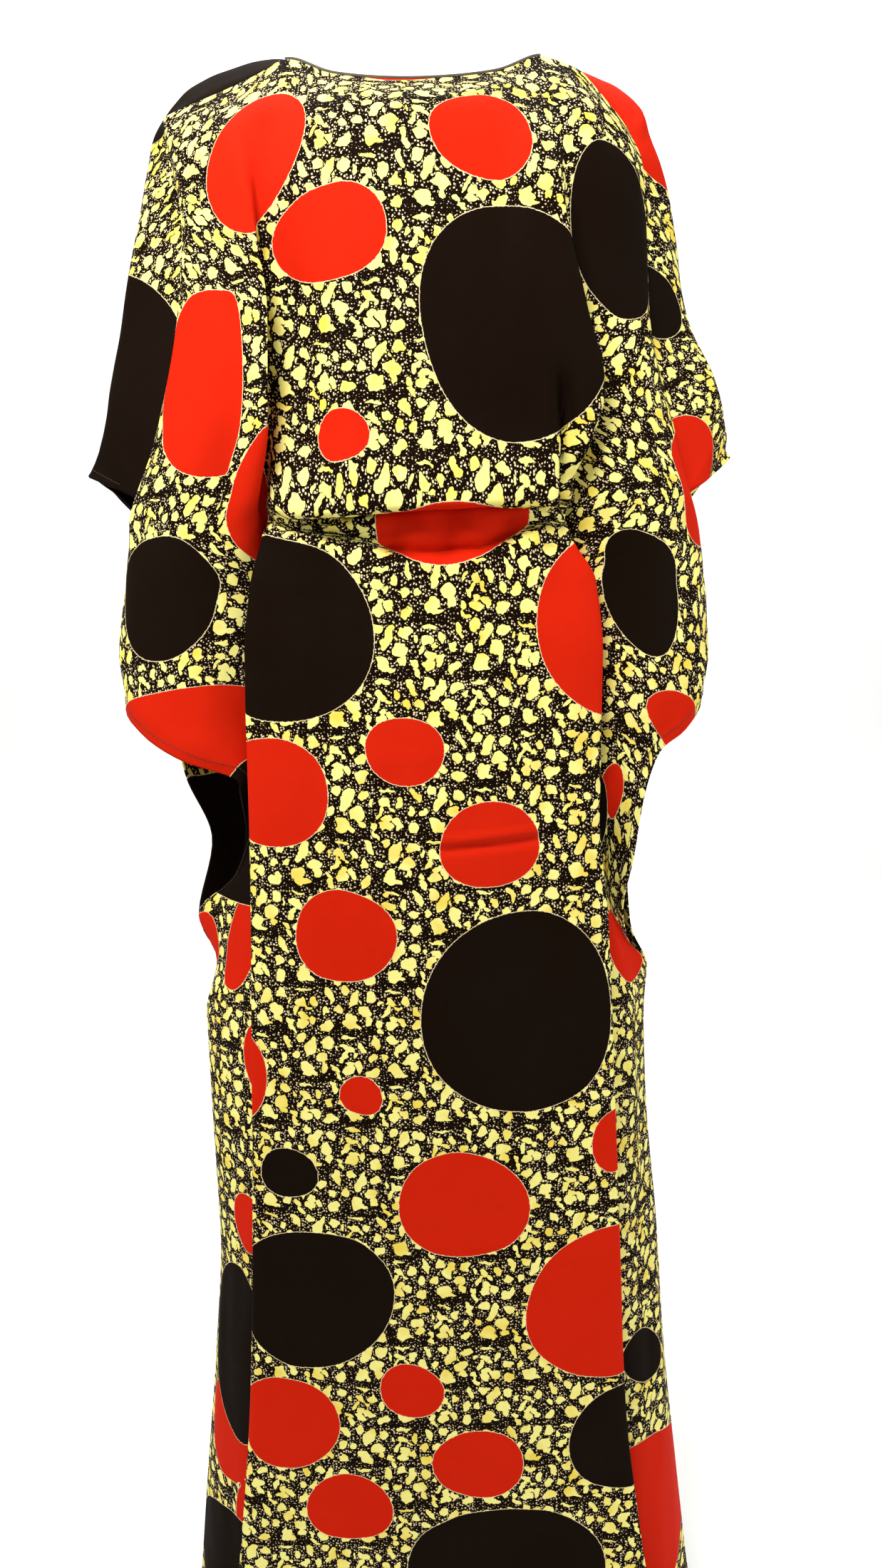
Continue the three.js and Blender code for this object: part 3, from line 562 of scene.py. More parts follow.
# %% [markdown]
# ## A thin wall with hems
# A single sheet of faces has no edge to catch the light, so each panel gets an outer and an inner face
# a little under a millimetre apart, closed all round. Along the sleeve ends and the bottom the cloth
# is turned up and stitched, and there the wall is thicker. Along the sewn edges both panels end in
# matching faces with a hair's gap, which reads as the seam. The Solidify modifier would do the wall,
# but not the hems or the matched seams.

# %% The wall of a panel
CLOTH = 0.9
HEM = 1.9
HEM_WIDTH = 12
HEM_STEP = 2
SEAM_GAP = 0.3
SLIT_GAP = 1.2
CORNER_COLUMNS = 8
# The sleeve ends lie open from this level down to these.
OPEN_FROM = 345
OPEN_TO = {"left": 699, "right": 744}


def is_open(side):
    """For each row: does the sleeve end lie open at this side?"""
    return (LEVELS >= OPEN_FROM) & (LEVELS <= OPEN_TO[side])


def wall_thickness(flat):
    """Thickness of the cloth at every point: one layer, or the turned hem near an open edge."""
    to_hem = np.abs(flat[-1:, :, 1] - flat[..., 1])
    for side, edge in (("left", 0), ("right", -1)):
        reach = np.abs(flat[..., 0] - flat[:, edge : edge + 1 or None, 0][:, :1])
        to_hem = np.where(is_open(side)[:, None], np.minimum(to_hem, reach), to_hem)
    turned = np.clip((HEM_WIDTH * MM + HEM_STEP * MM / 2 - to_hem) / (HEM_STEP * MM), 0, 1)
    return (CLOTH + (HEM - CLOTH) * turned) * MM


def seam_normals(points, upward):
    """Normals of a sewn edge in the XZ plane, pointing away from the body."""
    run = np.gradient(points, axis=0)
    n = np.stack([-run[:, 2], np.zeros(len(run)), run[:, 0]], axis=-1)
    n /= np.linalg.norm(n, axis=-1, keepdims=True)
    outward = n[:, 2] if upward else n[:, 0] * points[:, 0]
    return np.where(outward[:, None] < 0, -n, n)


def wall_layers(grid, flat, steps, facing):
    """Outer and inner points of a panel's wall."""
    normals = surface_normals(grid, facing)
    gap = np.zeros(grid.shape[:2])
    start, end = neck_columns(steps)
    shoulder = np.r_[0 : start + 1, end : grid.shape[1]]
    for side, c in (("left", 0), ("right", -1)):
        sewn = ~is_open(side)
        normals[sewn, c] = seam_normals(grid[:, c], False)[sewn]
        beside = sewn & (np.roll(~sewn, 1) | np.roll(~sewn, -1))
        gap[sewn, c] = SEAM_GAP
        gap[beside, c] = SLIT_GAP
    top = seam_normals(grid[0], True)
    column = np.arange(len(top))
    corner = np.clip(1 - np.minimum(column, column[::-1]) / CORNER_COLUMNS, 0, 1)[:, None]
    over = np.where((grid[0, :, 0] < 0)[:, None], normals[0, 0], normals[0, -1])
    blend = top * (1 - corner / 2) + over * corner
    normals[0, shoulder] = (blend / np.linalg.norm(blend, axis=-1, keepdims=True))[shoulder]
    gap[0, shoulder] = SEAM_GAP
    half = wall_thickness(flat)[..., None] / 2
    layers = [grid + normals * half, grid - normals * half]
    for layer in layers:
        layer[..., 1] = np.where(gap > 0, grid[..., 1] + facing * gap / 2 * MM, layer[..., 1])
    return layers


def wall_faces(rows, cols, facing):
    """Quads of both faces and the strip that closes the edges, all facing out."""
    index = np.arange(rows * cols).reshape(rows, cols)
    a, b, c, d = index[:-1, :-1], index[1:, :-1], index[1:, 1:], index[:-1, 1:]
    outer = np.stack([a, b, c, d], axis=-1).reshape(-1, 4)
    inner = outer[:, ::-1] + rows * cols
    ring = np.concatenate([index[0, :-1], index[:-1, -1], index[-1, :0:-1], index[:0:-1, 0]])
    after = np.roll(ring, -1)
    rim = np.stack([ring, after, after + rows * cols, ring + rows * cols], axis=-1)
    faces = np.concatenate([outer, inner, rim])
    return faces[:, ::-1] if facing > 0 else faces


# %% [markdown]
# ## The print
# Big red and black dots lie scattered over a ground of small yellow pebbles. The dots could be painted
# by many shader nodes, one set for each, but it is simpler to work out on the mesh how far every point
# is from the edge of the nearest dot. That distance changes evenly from point to point, so the shader
# can draw a crisp edge from it, and a pale line beside it, on a mesh far coarser than the line.

# %% The dots, by their place on the flat cloth
# Roundness of an outline (2 is an ellipse), how softly lobes run together (mm), how uneven an outline
# is and how that turns from dot to dot, and a distance (mm) that counts as far from every dot.
DOT_ROUND = 2.12
DOT_BLEND = 22
DOT_UNEVEN = (0.025, 0.02)
DOT_TURN = 1.7
FAR_AWAY = 200.0
NEARLY_NOTHING = 1e-6
# Each: across, down, half width, half height (mm), tilt (degrees), and for a dot that a tucked fold
# swallows in part, how far across it is kept: from, to, where 400 and more is no limit. The few that
# aren't round are a list of lobes.
FRONT_DOTS = {
    "red": [
        (-10, -8, 34, 14, 0), (-129, 97, 35, 63, 27), (-65, 156, 47, 34, -10), (52, 86, 40, 33, 25),
        (290, 357, 46, 46, 0), (-214, 270, 76, 77, 10, -400, -195), (-136, 366, 50, 84, 0, -400, -134),
        (-57, 301, 21, 19, 0), (25, 397, 60, 56, 0), (163, 496, 71, 75, 0, -400, 174),
        (296, 547, 44, 22, 0), (-330, 577, 200, 62, 5, -400, -160), (-16, 595, 31, 28, 0),
        (-130, 630, 50, 46, 0), (51, 674, 41, 36, 0), (-71, 752, 43, 40, 10), (-190, 886, 46, 46, 0),
        (-62, 898, 19, 18, 0), (25, 1005, 57, 52, 0), (-235, 1056, 24, 30, 0), (160, 952, 20, 30, 0),
        (158, 1113, 76, 76, 8, -400, 198), (-140, 1231, 48, 47, -10), (-24, 1194, 30, 27, 15),
        (37, 1272, 42, 36, 0), (-85, 1321, 40, 36, 0), (-283, 1295, 36, 50, 0), (-235, 1382, 40, 60, 0),
        (-310, 774, 24, 26, 0), (-245, 780, 22, 50, 18), (268, 775, 34, 42, 0),
        (275, 1392, 95, 92, 28, 235, 500), (225, 634, 12, 24, 10),
    ],
    "black": [
        (76, 223, 70, 87, -15), (184, 148, 39, 77, -30),
        [(-273, 447, 52, 50, 14), (-238, 424, 25, 22, 0)], (-112, 499, 75, 72, 0),
        [(243, 460, 31, 46, -26), (214, 422, 15, 33, -56)], (-240, 672, 80, 72, 0),
        (75, 825, 81, 93, 0), (-129, 975, 26, 24, 0), (-112, 1100, 73, 69, 0), (-262, 1200, 45, 90, 0),
        (178, 1256, 57, 54, 0, -400, 198), (268, 1212, 36, 24, 40), (63, 1401, 93, 82, 0),
        # The narrow black dot at (206, 665) is painted shade: it stands for the deep fold shadow in the
        # narrow gap at the right side.
        (-290, 1446, 68, 68, 0), (206, 665, 14, 44, 0),
    ],
}
BACK_DOTS = {
    "red": [
        (228, 30, 60, 66, -20), (398, 342, 36, 46, -15), (-60, 97, 45, 50, 15), (50, 173, 48, 36, -10),
        (-165, 428, 50, 54, 0), (80, 296, 24, 22, 0), (10, 505, 40, 36, 0), (-250, 562, 70, 60, 0),
        (150, 604, 50, 60, 0), (-40, 703, 42, 38, 0), (70, 794, 44, 40, 0), (-120, 830, 30, 28, 0),
        (58, 985, 50, 46, 0), (-200, 966, 36, 40, 0), (170, 1036, 55, 68, 0), (-90, 1156, 46, 44, 0),
        (20, 1238, 40, 34, 0), (-30, 1357, 40, 36, 0), (262, 1262, 46, 56, 0), (-250, 1349, 50, 60, 0),
    ],
    "black": [
        (-185, 5, 92, 52, 0), (338, 197, 33, 34, 0), (-330, 315, 105, 170, 28), (-60, 257, 78, 80, 0),
        (170, 440, 70, 74, 0), (-110, 600, 60, 66, 0), (-235, 704, 64, 58, 0), (190, 787, 60, 80, 0),
        (-95, 1000, 66, 76, 0), (90, 1095, 30, 26, 0), (-210, 1177, 60, 80, 0), (112, 1352, 76, 66, 0),
    ],
}


def lobe_distance(place, lobe, number):
    """Distance to the edge of one nearly round lobe, in mm, below 0 inside it."""
    u, v, wide, tall, tilt, *kept = lobe
    turn = math.radians(tilt)
    rel = place - np.array([u, v])
    x = (rel[..., 0] * math.cos(turn) + rel[..., 1] * math.sin(turn)) / wide
    y = (-rel[..., 0] * math.sin(turn) + rel[..., 1] * math.cos(turn)) / tall
    around = np.arctan2(y, x)
    size = (np.abs(x) ** DOT_ROUND + np.abs(y) ** DOT_ROUND) ** (1 / DOT_ROUND)
    three, two = DOT_UNEVEN
    size /= 1 + three * np.cos(3 * around + DOT_TURN * number) + two * np.cos(2 * around + number)
    distance = (size - 1) * np.hypot(x * wide, y * tall) / np.maximum(size, NEARLY_NOTHING)
    if kept:
        outside = np.maximum(kept[0] - place[..., 0], place[..., 0] - kept[1])
        distance = np.maximum(distance, outside)
    return distance


def dot_distance(flat, dots):
    """Distance to the edge of the nearest dot, in metres, below 0 inside it."""
    place = flat / MM
    nearest = np.full(flat.shape[:2], FAR_AWAY)
    for number, dot in enumerate(dots):
        lobes = dot if isinstance(dot, list) else [dot]
        distance, *others = [lobe_distance(place, lobe, number) for lobe in lobes]
        for other in others:
            share = np.clip(0.5 + (distance - other) / (2 * DOT_BLEND), 0, 1)
            distance = distance * (1 - share) + other * share - DOT_BLEND * share * (1 - share)
        nearest = np.minimum(nearest, distance)
    return nearest * MM


# %% A panel as a mesh
def panel_mesh(name, grid, flat, steps, facing, dots):
    """A closed wall with its place on the flat cloth and its distances to the dots."""
    rows, cols = grid.shape[:2]
    points = np.concatenate([layer.reshape(-1, 3) for layer in wall_layers(grid, flat, steps, facing)])
    faces = wall_faces(rows, cols, facing)
    piece = mesh_object(name, points.tolist(), faces.tolist())
    mesh = piece.data
    places = np.concatenate([flat.reshape(-1, 2)] * 2)
    uv = mesh.uv_layers.new(name="cloth")
    loops = np.empty(len(mesh.loops), dtype=np.int32)
    mesh.loops.foreach_get("vertex_index", loops)
    uv.data.foreach_set("uv", places[loops].astype(np.float32).ravel())
    for colour, listed in dots.items():
        distance = dot_distance(flat, listed).ravel()
        attribute = mesh.attributes.new(name=f"{colour}_edge", type="FLOAT", domain="POINT")
        attribute.data.foreach_set("value", np.concatenate([distance] * 2).astype(np.float32))
    print(name, len(faces) * 2, "triangles")
    return piece


front_piece = panel_mesh("front_cloth", front_grid, front_flat, FRONT_STEPS, FORWARD, FRONT_DOTS)
back_piece = panel_mesh("back_cloth", back_grid, back_flat, BACK_STEPS, BACKWARD, BACK_DOTS)

# %% [markdown]
# ## The printed cotton
# The ground is a repeat, as it comes off a printing roller: a chart of ovals, one for each yellow
# pebble, laid in a half drop and bent by noise, so that the ovals turn into pebbles. Between them runs
# a foam of tiny pale bubbles on near-black. It is drawn with cells, because cells fill a plane with no
# two alike. Dots go over the ground by their distances, with a pale line where the dyes meet. A fine
# bump of crossing threads and a faint slub keep the surface from looking like paper.

# %% Small helpers for materials
YELLOW = (0.98, 0.90, 0.28, 1)
OCHRE = (0.92, 0.70, 0.09, 1)
CREAM = (0.88, 0.72, 0.40, 1)
INK = (0.007, 0.003, 0.001, 1)
RED = (0.62, 0.015, 0.002, 1)
BLACK = (0.007, 0.003, 0.0008, 1)


def add_node(tree, kind, inputs=(), **settings):
    """A node of that kind; inputs are (socket, value or output socket)."""
    node = tree.nodes.new(kind)
    for key, value in settings.items():
        setattr(node, key, value)
    for socket, value in inputs:
        if isinstance(value, bpy.types.NodeSocket):
            tree.links.new(value, node.inputs[socket])
        else:
            node.inputs[socket].default_value = value
    return node


def paler(colour, times, plus=0.0):
    """The colour made paler, never past white."""
    return tuple(min(1, times * c + plus) for c in colour[:3]) + (1,)


class Nodes:
    """A short way to add shader nodes and join them."""

    def __init__(self, name):
        self.material = bpy.data.materials.new(name)
        self.material.use_nodes = True
        self.tree = self.material.node_tree
        self.shader = self.tree.nodes["Principled BSDF"]

    def add(self, kind, inputs=(), **settings):
        """A node in this material."""
        return add_node(self.tree, kind, inputs, **settings)

    def math(self, operation, a, b=0.0):
        """One sum of two numbers."""
        return self.add("ShaderNodeMath", [(0, a), (1, b)], operation=operation).outputs[0]

    def scaled(self, value, factor, more):
        """A number times a factor, and something more."""
        sockets = [(0, value), (1, factor), (2, more)]
        return self.add("ShaderNodeMath", sockets, operation="MULTIPLY_ADD").outputs[0]

    def vector(self, operation, *inputs):
        """One sum of two vectors."""
        return self.add("ShaderNodeVectorMath", inputs, operation=operation)

    def step(self, value, start, end):
        """0 before start, 1 after end, straight between them."""
        ends = [("Value", value), ("From Min", start), ("From Max", end)]
        return self.add("ShaderNodeMapRange", ends).outputs["Result"]

    def mix(self, amount, a, b):
        """Colour a where amount is 0, colour b where it is 1."""
        sockets = [("Factor", amount), (6, a), (7, b)]
        return self.add("ShaderNodeMix", sockets, data_type="RGBA").outputs[2]

    def noise(self, vector, scale, detail=2.0):
        """Soft random values on the cloth."""
        sockets = [("Vector", vector), ("Scale", scale), ("Detail", detail)]
        return self.add("ShaderNodeTexNoise", sockets, noise_dimensions="2D")

    def cells(self, vector, scale):
        """Cells that fill the cloth."""
        sockets = [("Vector", vector), ("Scale", scale)]
        return self.add("ShaderNodeTexVoronoi", sockets, voronoi_dimensions="2D", feature="F1")

    def bent(self, vector, scale, reach):
        """The same place, pushed about by noise."""
        noise = self.noise(vector, scale).outputs["Color"]
        centred = self.vector("SUBTRACT", (0, noise), (1, (0.5, 0.5, 0.5)))
        pushed = self.vector("SCALE", (0, centred.outputs[0]), ("Scale", reach))
        return self.vector("ADD", (0, vector), (1, pushed.outputs[0])).outputs[0]


# %% The repeat of the ground
# The ground repeats in a half drop: every other column of repeats starts half a repeat lower.
REPEAT_ACROSS = 77
REPEAT_DOWN = 87
# One repeat: across, down, half width, half height (mm), tilt (degrees).
PEBBLES = [
    (46, 3, 6, 7, 0), (51, 7, 5, 2.2, 5), (26, 6, 6, 4.6, -38), (13, 0, 3.6, 3.6, 0), (62, 1, 3, 4, 0),
    (71, 3, 2.6, 4, -40), (73, 10, 2.4, 5, -35), (5, 4, 5.5, 4.4, 15), (4, 18, 4.4, 4.6, 0),
    (12, 25, 4.2, 10, 26), (26, 22, 5.2, 4.8, -20), (21, 36, 6.6, 5.6, -15), (22, 44, 2.4, 4, 0),
    (45, 18, 7.5, 1.8, 4), (34, 27, 1.7, 3.4, 0), (43, 28, 5.5, 3.4, 30), (49, 33, 3.2, 2, 35),
    (39, 36, 2.4, 6.4, 28), (45, 41, 4.2, 3.4, 0), (55, 27, 3.4, 4.6, 0), (68, 21, 3, 7.6, -22),
    (64, 35, 4, 4.6, 0), (75, 35, 3.6, 4.2, 20), (53, 46, 2.8, 4, 15), (18, 27, 1.2, 2.6, -10),
]
# Places where the foam thins out to dark: the same columns.
DARK_PATCHES = [(50, 12, 20, 3, 0), (36, 8, 3, 7, 0), (28, 50, 11, 3, 0), (38, 40, 2.5, 8, 10)]
# Size of a foam cell, in metres.
BUBBLE = 0.0024
# How the ovals are bent, coarse and fine, and the foam: scale of the noise, reach in metres.
COARSE_BEND = (95, 0.0085)
FINE_BEND = (330, 0.0022)
FOAM_BEND = (500, 0.0012)
# Radius of a bubble in cells: least, spread, and how much less in a dark patch; width of its edge.
BUBBLE_LEAST = 0.10
BUBBLE_SPREAD = 0.30
BUBBLE_LESS = 0.12
BUBBLE_EDGE = 0.10
# Distances (mm) from a pebble's oval: where foam starts, where a dark patch and the pebble begin.
FOAM_START = (0.35, 0.75)
DARK_START = (1.5, -1.0)
PEBBLE_START = (-0.2, -0.45)
# How softly near ovals run together (mm), and where noise turns yellow into gold.
OVAL_BLEND = 0.5
GOLD_SCALE = 35
GOLD_START = (0.45, 0.75)


def repeat_place(n, place):
    """Where a point lies in the repeat, on its two slanting directions."""
    across, down = 1 / (REPEAT_ACROSS * MM), 1 / (REPEAT_DOWN * MM)
    first = n.vector("DOT_PRODUCT", (0, place), (1, (across, down, 0))).outputs["Value"]
    second = n.vector("DOT_PRODUCT", (0, place), (1, (-across, down, 0))).outputs["Value"]
    return n.add("ShaderNodeCombineXYZ", [(0, first), (1, second)]).outputs[0]


def oval_distance(n, repeat, oval):
    """Distance (mm) to the edge of one oval of the repeat, below 0 inside it."""
    u, v, wide, tall, tilt = oval
    turn = math.radians(tilt)
    centre = (u / REPEAT_ACROSS + v / REPEAT_DOWN, -u / REPEAT_ACROSS + v / REPEAT_DOWN, 0)
    half_u, half_v = REPEAT_ACROSS / 2, REPEAT_DOWN / 2
    rows = []
    for x, y, size in ((math.cos(turn), math.sin(turn), wide), (-math.sin(turn), math.cos(turn), tall)):
        rows.append(((half_u * x + half_v * y) / size, (-half_u * x + half_v * y) / size, 0))
    away = n.vector("SUBTRACT", (0, repeat), (1, centre)).outputs[0]
    away = n.vector("WRAP", (0, away), (1, (0.5, 0.5, 0.5)), (2, (-0.5, -0.5, -0.5))).outputs[0]
    x, y = (n.vector("DOT_PRODUCT", (0, away), (1, row)).outputs["Value"] for row in rows)
    length = n.math("SQRT", n.scaled(y, y, n.math("MULTIPLY", x, x)))
    size = 2 * wide * tall / (wide + tall)
    return n.scaled(length, size, -size)


def nearest_oval(n, repeat, ovals):
    """Distance (mm) to the nearest of the ovals; near ones run together."""
    nearest = oval_distance(n, repeat, ovals[0])
    for oval in ovals[1:]:
        sockets = [(0, nearest), (1, oval_distance(n, repeat, oval)), (2, OVAL_BLEND)]
        nearest = n.add("ShaderNodeMath", sockets, operation="SMOOTH_MIN").outputs[0]
    return nearest


def pebble_ground(n, place):
    """Colour of the ground: pebbles on a foam of bubbles."""
    repeat = repeat_place(n, n.bent(n.bent(place, *COARSE_BEND), *FINE_BEND))
    pebble = nearest_oval(n, repeat, PEBBLES)
    dark = n.step(nearest_oval(n, repeat, DARK_PATCHES), *DARK_START)
    bubble = n.cells(n.bent(place, *FOAM_BEND), 1 / BUBBLE)
    sizes = n.add("ShaderNodeSeparateColor", [("Color", bubble.outputs["Color"])])
    size = n.scaled(sizes.outputs[0], BUBBLE_SPREAD, BUBBLE_LEAST)
    size = n.math("SUBTRACT", size, n.math("MULTIPLY", dark, BUBBLE_LESS))
    foam = n.step(n.math("SUBTRACT", size, bubble.outputs["Distance"]), 0.0, BUBBLE_EDGE)
    foam = n.math("MULTIPLY", foam, n.step(pebble, *FOAM_START))
    tone = n.noise(place, GOLD_SCALE).outputs["Fac"]
    pebble_colour = n.mix(n.step(tone, *GOLD_START), YELLOW, OCHRE)
    colour = n.mix(foam, INK, CREAM)
    return n.mix(n.step(pebble, *PEBBLE_START), colour, pebble_colour)


# %% The whole print and the weave
# Scales of the textures.
WEAVE_SCALE = 100
SLUB_SCALE = 700
CRUMPLE_SCALE = 38
DYE_SCALE = 9
FRAY_SCALE = 400
# Depths of the bumps, how far an edge frays, the pale line beside it and its softness, in metres.
WEAVE_DEPTH = 0.00012
CRUMPLE_DEPTH = 0.0022
FRAY = 0.0012
PALE_LINE = 0.0005
SOFT_EDGE = 0.0002
BUMP_STRENGTH = 0.35
SLUB_SHARE = 0.4
# Faded dye: how much of it shows, and how much paler it is, times and plus.
FADED_SHARE = 0.2
PALER_TIMES = 1.4
PALER_PLUS = 0.01


def printed_cotton():
    """Printed cotton: pebbles, dots with a pale edge, and a plain weave."""
    n = Nodes("printed_cotton")
    place = n.add("ShaderNodeUVMap", uv_map="cloth").outputs["UV"]
    colour = pebble_ground(n, place)
    fray = n.math("SUBTRACT", n.noise(place, FRAY_SCALE).outputs["Fac"], 0.5)
    frayed = n.math("MULTIPLY", fray, FRAY)
    for name, dye in (("red", RED), ("black", BLACK)):
        edge = n.add("ShaderNodeAttribute", attribute_name=f"{name}_edge").outputs["Fac"]
        edge = n.math("ADD", edge, frayed)
        tone = n.noise(place, DYE_SCALE, 4.0).outputs["Fac"]
        faded = n.mix(n.math("MULTIPLY", tone, FADED_SHARE), dye, paler(dye, PALER_TIMES, PALER_PLUS))
        colour = n.mix(n.step(edge, PALE_LINE + SOFT_EDGE, PALE_LINE - SOFT_EDGE / 2), colour, CREAM)
        colour = n.mix(n.step(edge, SOFT_EDGE, -SOFT_EDGE), colour, faded)
    n.tree.links.new(colour, n.shader.inputs["Base Color"])
    n.shader.inputs["Roughness"].default_value = 0.7
    n.shader.inputs["Specular IOR Level"].default_value = 0.025
    n.tree.links.new(weave_bump(n, place), n.shader.inputs["Normal"])
    return n.material


def weave_bump(n, place):
    """Crossing threads, a faint slub and small crumples."""
    threads = []
    for direction in ("X", "Y"):
        sockets = [("Vector", place), ("Scale", WEAVE_SCALE), ("Distortion", 0.6)]
        wave = n.add("ShaderNodeTexWave", sockets, wave_type="BANDS", bands_direction=direction)
        threads.append(wave.outputs["Fac"])
    woven = n.math("MAXIMUM", *threads)
    slub = n.noise(place, SLUB_SCALE, 3.0).outputs["Fac"]
    woven, slub = n.math("MULTIPLY", woven, 1 - SLUB_SHARE), n.math("MULTIPLY", slub, SLUB_SHARE)
    sockets = [("Distance", WEAVE_DEPTH), ("Height", n.math("ADD", woven, slub))]
    fine = n.add("ShaderNodeBump", [("Strength", BUMP_STRENGTH), *sockets])
    crumple = n.noise(place, CRUMPLE_SCALE, 3.0).outputs["Fac"]
    sockets = [("Distance", CRUMPLE_DEPTH), ("Height", crumple), ("Normal", fine.outputs["Normal"])]
    return n.add("ShaderNodeBump", [("Strength", BUMP_STRENGTH), *sockets]).outputs["Normal"]


cotton = printed_cotton()
for piece in (front_piece, back_piece):
    piece.data.materials.append(cotton)
print("printed cotton has", len(cotton.node_tree.nodes), "nodes")

# %% [markdown]
# ## The neck binding
# A strip cut on the bias folds over the raw neckline, so the edge neither stretches nor frays. It shows
# as a thin dark roll. A tube swept round the neckline is the plain way to make it, with a soft oval
# section, and the weave runs across it at an angle because the strip is cut so.

# %% The binding
BINDING_TALL = 2.6
BINDING_THICK = 2.2
BINDING_SIDES = 10
BINDING_STEPS = 240
RAISED = -0.5
BINDING_COLOUR = (0.035, 0.028, 0.018, 1)


def even_ring(points, count):
    """Points at even steps round a closed line."""
    closed = np.vstack([points, points[:1]])
    run = np.concatenate([[0], np.cumsum(np.linalg.norm(np.diff(closed, axis=0), axis=1))])
    at = np.linspace(0, run[-1], count, endpoint=False)
    return np.stack([np.interp(at, run, closed[:, k]) for k in range(3)], axis=-1)


def neck_ring():
    """The neckline, front and back, as one closed line."""
    start, end = neck_columns(FRONT_STEPS)
    back_start, back_end = neck_columns(BACK_STEPS)
    front_edge = front_grid[0, start : end + 1]
    back_edge = back_grid[0, back_start + 1 : back_end][::-1]
    return even_ring(np.vstack([front_edge, back_edge]), BINDING_STEPS)


def binding_piece():
    """The bias strip as a soft oval roll on the neck edge."""
    ring = neck_ring()
    out = ring * [1, 1, 0]
    out /= np.linalg.norm(out, axis=1, keepdims=True)
    around = np.linspace(0, 2 * math.pi, BINDING_SIDES, endpoint=False)
    centre = ring + [0, 0, (RAISED + BINDING_TALL / 2) * MM]
    side = np.cos(around)[None, :, None] * out[:, None] * BINDING_THICK / 2 * MM
    rise = np.sin(around)[None, :, None] * np.array([0, 0, 1]) * BINDING_TALL / 2 * MM
    points = (centre[:, None] + side + rise).reshape(-1, 3)
    faces = []
    for i in range(BINDING_STEPS):
        j = (i + 1) % BINDING_STEPS
        for k in range(BINDING_SIDES):
            m = (k + 1) % BINDING_SIDES
            corners = [i * BINDING_SIDES + k, j * BINDING_SIDES + k]
            faces.append([*corners, j * BINDING_SIDES + m, i * BINDING_SIDES + m])
    piece = mesh_object("neck_roll", points.tolist(), faces)
    length = np.linalg.norm(np.diff(np.vstack([ring, ring[:1]]), axis=0), axis=1).sum()
    print("binding is", round(float(length), 3), "m round")
    return piece, float(length)


def binding_cotton():
    """Dark cotton with a slanting weave."""
    n = Nodes("binding_cotton")
    place = n.add("ShaderNodeTexCoord").outputs["Object"]
    tone = n.add("ShaderNodeTexNoise", [("Vector", place), ("Scale", 160.0)]).outputs["Fac"]
    colour = n.mix(tone, BINDING_COLOUR, paler(BINDING_COLOUR, 3))
    n.tree.links.new(colour, n.shader.inputs["Base Color"])
    sockets = [("Vector", place), ("Scale", 90.0), ("Distortion", 1.0)]
    wave = n.add("ShaderNodeTexWave", sockets, bands_direction="DIAGONAL").outputs["Fac"]
    bump = n.add("ShaderNodeBump", [("Strength", 0.4), ("Distance", 0.0003), ("Height", wave)])
    n.tree.links.new(bump.outputs["Normal"], n.shader.inputs["Normal"])
    n.shader.inputs["Roughness"].default_value = 0.8
    n.shader.inputs["Sheen Weight"].default_value = 0.15
    return n.material


binding, binding_length = binding_piece()
binding.data.materials.append(binding_cotton())

# %% [markdown]
# ## Stitches
# Every hem is sewn by machine: short even stitches in a row. Geometry Nodes suit what repeats along a
# path: the rows are drawn as lines on the cloth, the tree sets points along them, puts one small
# stitch on each and turns it to follow the line. The result is made real, because only real meshes
# leave Blender.

# %% Paths of the stitch rows
STITCH_LENGTH = 2.6
STITCH_GAP = 1.2
STITCH_RADIUS = 0.32
STITCH_LIFT = 0.55
STITCH_SEED = 7
HEM_STITCH_IN = 10
THREAD_COLOUR = (0.025, 0.016, 0.008, 1)


def lifted(grid, flat, facing):
    """The cloth's surface moved out to where a thread lies on it."""
    half = wall_thickness(flat)[..., None] / 2
    return grid + surface_normals(grid, facing) * (half + STITCH_LIFT * STITCH_RADIUS * MM)


def inset_columns(flat, edge, distance):
    """For each row, the (fractional) column that lies a distance in from a side edge."""
    reach = np.abs(flat[..., 0] - flat[:, edge][:, None, 0])
    order = reach if edge == 0 else reach[:, ::-1]
    columns = [np.interp(distance, row, np.arange(len(row))) for row in order]
    return np.array(columns) if edge == 0 else reach.shape[1] - 1 - np.array(columns)


def along_columns(surface, columns, rows):
    """Points on the surface at a fractional column for each row."""
    base = np.clip(np.floor(columns[rows]).astype(int), 0, surface.shape[1] - 2)
    part = (columns[rows] - base)[:, None]
    return surface[rows, base] * (1 - part) + surface[rows, base + 1] * part


def at_level(surface, level):
    """Points on the surface along one level."""
    row = np.interp(level, LEVELS, np.arange(len(LEVELS)))
    base = min(int(row), len(LEVELS) - 2)
    return surface[base] * (1 - (row - base)) + surface[base + 1] * (row - base)


def stitch_paths(grid, flat, facing):
    """The stitch rows of a panel: both sleeve hems and the bottom hem."""
    surface = lifted(grid, flat, facing)
    paths = []
    for side, edge in (("left", 0), ("right", -1)):
        rows = np.flatnonzero(is_open(side))[2:-2]
        paths.append(along_columns(surface, inset_columns(flat, edge, HEM_STITCH_IN * MM), rows))
    paths.append(at_level(surface, LENGTH - HEM_STITCH_IN)[1:-1])
    return paths


# %% The stitch tree
# Sides of a stitch, and the least and most of its random scale.
STITCH_SIDES = 6
STITCH_SCALES = ((0.9, 0.9, 0.88), (1.1, 1.1, 1.08))


def stitch_sockets(tree):
    """The tree's named inputs and its output."""
    face = tree.interface
    face.new_socket("Geometry", in_out="INPUT", socket_type="NodeSocketGeometry")
    for name in ("Stitch Length", "Gap", "Radius"):
        face.new_socket(name, in_out="INPUT", socket_type="NodeSocketFloat")
    face.new_socket("Seed", in_out="INPUT", socket_type="NodeSocketInt")
    face.new_socket("Geometry", in_out="OUTPUT", socket_type="NodeSocketGeometry")
    return add_node(tree, "NodeGroupInput").outputs, add_node(tree, "NodeGroupOutput").inputs


